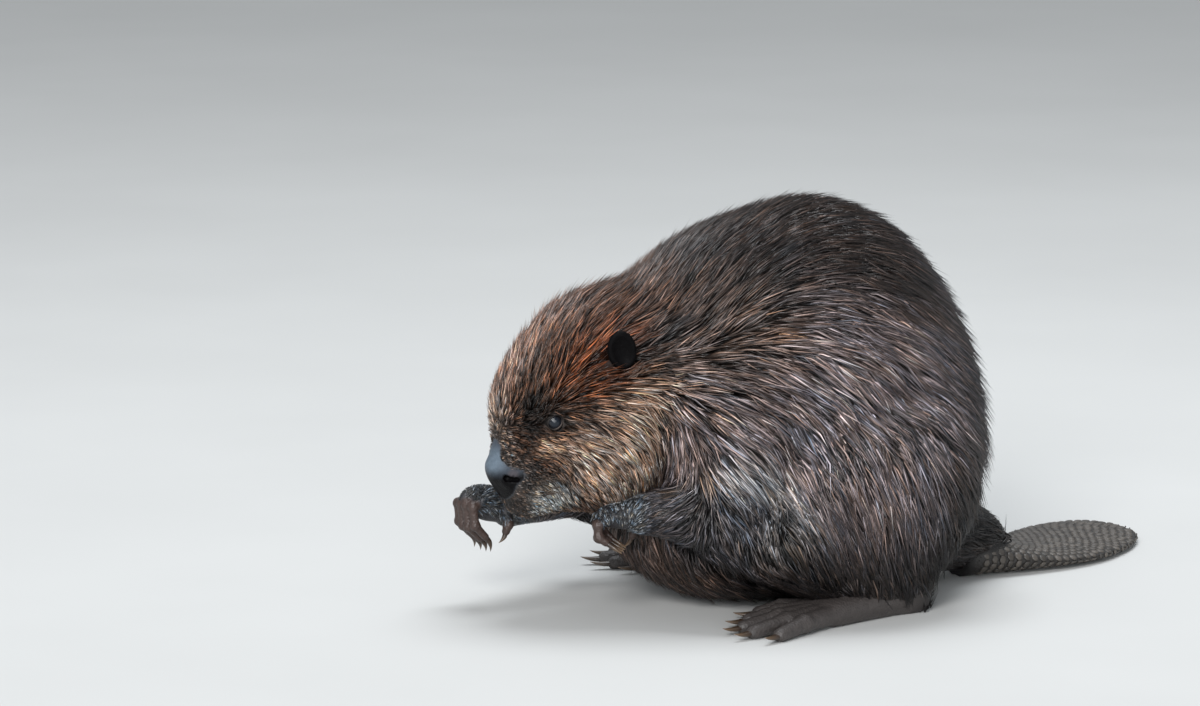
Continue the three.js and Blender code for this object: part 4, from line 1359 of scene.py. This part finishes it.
CLAWS = {
    "fore": {"length": 10, "radius": 1.9, "flat": 1.1, "droop": 0.5, "root": FINGER_TIP, "sunk": 3.2},
    "hind": {"length": 12.5, "radius": 3.1, "flat": 0.62, "droop": 0.2, "root": TOE_TIP, "sunk": 5.0},
}
THUMB_CLAW = {"length": 6, "radius": 1.6}


def claw(tip, before, down, shape, rings=9, sides=10):
    """A curved horn sheath that grows out of a digit's tip."""
    along = unit(tip - before)
    across = unit(np.cross(along, down))
    under = unit(np.cross(along, across))
    start = tip + along * (shape["root"] + 0.35)
    made = []
    for s in np.linspace(-shape["sunk"], shape["length"], rings):
        t = max(s, 0) / shape["length"]
        thick = shape["radius"] * max(1 - t**1.5, 0.02) ** 0.75
        middle = start + along * s + under * shape["droop"] * shape["length"] * t * t
        made.append((middle, across * thick, under * thick * shape["flat"] * (1 - 0.15 * t)))
    return lofted(made, sides)


def build_claws(materials):
    for limb_name, digits_of in (("fore", fingers_of), ("hind", toes_of)):
        made, names = [], []
        for side_name, side in SIDES.items():
            down = np.array([0.8, 0, -0.6]) if limb_name == "fore" else -UP
            for i, joints in enumerate(digits_of(side)):
                before = joints[-2] if limb_name == "fore" else joints[0]
                shape = dict(CLAWS[limb_name])
                if limb_name == "fore" and i == 0:
                    shape.update(THUMB_CLAW)
                made.append(claw(joints[-1], before, down, shape))
                names.append(f"claw_{limb_name}_{side_name}_{i + 1}")
        points, faces = together(made)
        rings = points.shape[1] // len(made)
        share = np.tile(np.arange(rings) / rings, len(made))
        colours = painted(all_over("claw_root", len(share)), "claw_tip", share**2)
        piece = mesh_piece(f"claws_{limb_name}", points, faces, [materials["claw"]], colours)
        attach(piece, "root")
        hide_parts(*names)


# Rings of the eye by angle from its middle, in degrees: pupil, iris, dark rim, white.
# The blue tint of the pupil and iris is a painted reflection of the sky.
EYE_TONES = (
    (0, (13, 21, 31)),
    (24, (15, 22, 31)),
    (31, (24, 26, 31)),
    (42, (18, 17, 20)),
    (48, (7, 7, 8)),
    (90, (30, 26, 25)),
)


def build_eyes(materials):
    steps = np.radians(np.linspace(1, 179, 34))
    for side_name, side in SIDES.items():
        eye, out, front, _ = eye_axes(side)
        rings = []
        for a in steps[::-1]:
            bulge = EYE_RADIUS * (1 + 0.025 * math.exp(-((a / 0.7) ** 2)))
            reach = bulge * math.sin(a)
            rings.append((eye + out * bulge * math.cos(a), front * reach, np.cross(out, front) * reach))
        points, faces = lofted(rings, 40)
        angles = [a for a, _ in EYE_TONES]
        tones = np.array([linear(tone) for _, tone in EYE_TONES])
        away = unit_rows(points - eye[:, None])
        turned = np.degrees(np.arccos(np.clip(out @ away, -1, 1)))
        colours = np.stack([np.interp(turned, angles, tones[:, k]) for k in range(3)])
        piece = mesh_piece(f"eyeball_{side_name}", points, faces, [materials["eye"]], colours)
        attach(piece, "root")
        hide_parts(f"eye_{side_name}")


WHISKERS_A_SIDE, WHISKER_LENGTH, WHISKER_RADIUS = 18, (14, 30), 0.34


def build_whiskers(materials):
    """Thin bristles from the upper lip, swept back and down."""
    draw = np.random.default_rng(SEED + 1).uniform
    made = []
    for side in (LEFT, RIGHT):
        for _ in range(WHISKERS_A_SIDE):
            root = np.array([draw(30, 42), side * draw(24, 28), draw(-38, -24)])
            sweep = np.array([draw(-0.5, 0.1), side * draw(0.7, 1.0), draw(-0.5, 0.0)])
            at, way = from_head(root - sweep * 4), unit(sweep @ HEAD_AXES)
            length, rings = draw(*WHISKER_LENGTH), []
            side_way = unit(np.cross(way, UP))
            for t in np.linspace(0, 1, 6):
                middle = at + way * (length * t + 3) - (FORWARD * 0.25 + UP * 0.12) * length * t * t
                thick = WHISKER_RADIUS * (1 - t) + 0.03
                rings.append((middle, side_way * thick, np.cross(way, side_way) * thick))
            made.append(lofted(rings, 4))
    points, faces = together(made)
    colours = all_over("whisker", points.shape[1])
    piece = mesh_piece("whiskers", points, faces, [materials["whisker"]], colours)
    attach(piece, "root")


SCALE_PITCH, SCALE_RADIUS, SCALE_RISE, SCALE_PATCH = 5.6, 3.25, 0.75, 0.004


def build_scales(materials):
    """Low six-sided domes in staggered rows all round the tail's paddle."""
    rng = np.random.default_rng(SEED + 2)
    rows = int(TAIL_LENGTH / SCALE_PITCH)
    points, faces, uv, tones = [], [], [], []
    hexagon = np.arange(6) * math.pi / 3
    for i in range(2, rows):
        t = (i + 0.2) / rows
        x, y, middle, wide, high, heading = (
            np.interp(t, TAIL["t"], TAIL[k]) for k in ("x", "y", "middle", "wide", "high", "heading")
        )
        turn = np.linspace(0, 2 * math.pi, 400)
        steps = np.hypot(np.diff(wide * np.cos(turn)), np.diff(high * np.sin(turn)))
        arc = np.concatenate([[0], np.cumsum(steps)])
        count = max(int(arc[-1] / (SCALE_PITCH * 1.08)), 4)
        along = np.array([math.cos(heading), math.sin(heading), 0])
        aside = np.array([-math.sin(heading), math.cos(heading), 0])
        for j in range(count):
            share = (j + 0.5 * (i % 2)) / count + rng.normal(0, 0.04) / count
            a = np.interp(share % 1 * arc[-1], arc, turn)
            c, s = math.cos(a), math.sin(a)
            at = np.array([x, y, middle]) + aside * wide * c + UP * high * s
            out = unit(aside * c / max(wide, 1) + UP * s / high)
            if at[2] < 1.4 and out[2] < -0.5:
                continue
            round_way = np.cross(along, out)
            size = SCALE_RADIUS * rng.uniform(0.9, 1.05)
            rim = min(1, 0.45 + 1.3 * abs(s) + 1.2 * high / wide)
            size, rise = size * rim, SCALE_RISE * rng.uniform(0.7, 1.15) * rim
            start = len(points)
            row = share % 1 * 0.97 + 0.015
            for reach, height in ((1.02, -0.7), (0.97, 0.1), (0.62, rise * 0.85)):
                for h in hexagon:
                    c, s = math.cos(h), math.sin(h)
                    flat = along * c * size * reach * 0.98 + round_way * s * size * reach * 1.08
                    points.append(at + flat + out * height)
                    uv.append((t + c * SCALE_PATCH * reach, row + s * SCALE_PATCH * reach))
            points.append(at + out * rise)
            uv.append((t, row))
            faces += [(start, start + k + 1, start + k) for k in (1, 2, 3, 4)]
            for ring in (0, 6):
                for k in range(6):
                    p, r = start + ring + k, start + ring + (k + 1) % 6
                    faces += [(p, r, p + 6), (r, r + 6, p + 6)]
            faces += [(start + 12 + k, start + 12 + (k + 1) % 6, start + 18) for k in range(6)]
            tone = linear(TONES["scale"]) * rng.uniform(0.6, 1.35)
            # Each scale is darker towards its sunk rim: painted shade in the grooves between scales.
            tones += [tone * 0.35] * 6 + [tone * 0.75] * 6 + [tone] * 7
    points = np.maximum(np.array(points).T, np.array([[-1e3], [-1e3], [0.05]]))
    piece = mesh_piece(
        "tail_scales", points, np.array(faces), [materials["scale"]], np.array(tones).T, np.array(uv).T
    )
    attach(piece, "root")


# ---------------------------------------------------------------- build

materials = make_materials()
skin, (skin_points, skin_quads) = build_skin(materials)
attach(skin, "root")
flesh_nodes = [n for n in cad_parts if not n.startswith(("eye", "claw"))]
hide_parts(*flesh_nodes)
coat = make_coat(skin_points, skin_quads)
build_coat(coat, materials["fur"])
build_claws(materials)
build_eyes(materials)
build_whiskers(materials)
build_scales(materials)

# ---------------------------------------------------------------- camera, lights and floor

CAMERA_AZIMUTH, CAMERA_ELEVATION = math.radians(-22), math.radians(10)
CAMERA_DISTANCE = 5000
FOCAL_PIXELS, SENSOR = 7000, 36.0
PIXELS_PER_MM = 1.4
IMAGE = (1200, 706)
ORIGIN_PIXEL = (790, 591)
FLOOR_HALF = 14.0  # metres
FLOOR_TONES = ((196, 196, 194), (206, 206, 204))
SKY, SKY_STRENGTH = (0.9, 0.95, 1.0, 1), 0.45
LIGHTS_AIM = Vector((0, 0, 0.12))


def place_camera():
    a, e = CAMERA_AZIMUTH, CAMERA_ELEVATION
    right = np.array([math.cos(a), math.sin(a), 0])
    back = np.array([math.sin(a) * math.cos(e), -math.cos(a) * math.cos(e), math.sin(e)])
    up = np.cross(back, right)
    target = right * (IMAGE[0] / 2 - ORIGIN_PIXEL[0]) + up * (ORIGIN_PIXEL[1] - IMAGE[1] / 2)
    target = target / PIXELS_PER_MM
    data = bpy.data.cameras.new("camera")
    data.sensor_width = SENSOR
    data.lens = FOCAL_PIXELS / IMAGE[0] * SENSOR
    data.clip_start, data.clip_end = 0.1, 50
    camera = bpy.data.objects.new("camera", data)
    camera.location = (target + back * CAMERA_DISTANCE + SHIFT) * MM
    camera.rotation_mode = "QUATERNION"
    camera.rotation_quaternion = Vector(back).to_track_quat("Z", "Y")
    bpy.context.scene.collection.objects.link(camera)
    bpy.context.scene.camera = camera


def area_light(name, place, size, power, colour=(1, 1, 1)):
    data = bpy.data.lights.new(name, "AREA")
    data.shape = "RECTANGLE"
    data.size, data.size_y = size
    data.energy = power
    data.color = colour
    lamp = bpy.data.objects.new(name, data)
    lamp.location = place
    lamp.rotation_mode = "QUATERNION"
    lamp.rotation_quaternion = (LIGHTS_AIM - Vector(place)).to_track_quat("-Z", "Y")
    bpy.context.scene.collection.objects.link(lamp)


def make_stage():
    mesh = bpy.data.meshes.new("floor")
    corners = [(x * FLOOR_HALF, y * FLOOR_HALF, 0) for x, y in ((-1, -1), (1, -1), (1, 1), (-1, 1))]
    mesh.from_pydata(corners, [], [(0, 1, 2, 3)])
    floor = bpy.data.objects.new("floor", mesh)
    floor.location.z = -0.0002
    bpy.context.scene.collection.objects.link(floor)
    mesh.materials.append(material_of("floor", two_toned(*FLOOR_TONES, 3), Roughness=0.8))
    world = bpy.data.worlds.new("world")
    world.use_nodes = True
    sky = world.node_tree.nodes["Background"]
    sky.inputs["Color"].default_value = SKY
    sky.inputs["Strength"].default_value = SKY_STRENGTH
    bpy.context.scene.world = world
    area_light("key", (-3.4, -4.6, 3.4), (2.0, 2.0), 300)
    area_light("fill", (-1.8, -6.0, 1.2), (3.2, 1.6), 160, (0.94, 0.97, 1))
    area_light("top", (0.3, 0.5, 2.6), (1.6, 1.2), 50, (0.92, 0.96, 1))
    bpy.context.scene.view_settings.view_transform = "Standard"


place_camera()
make_stage()
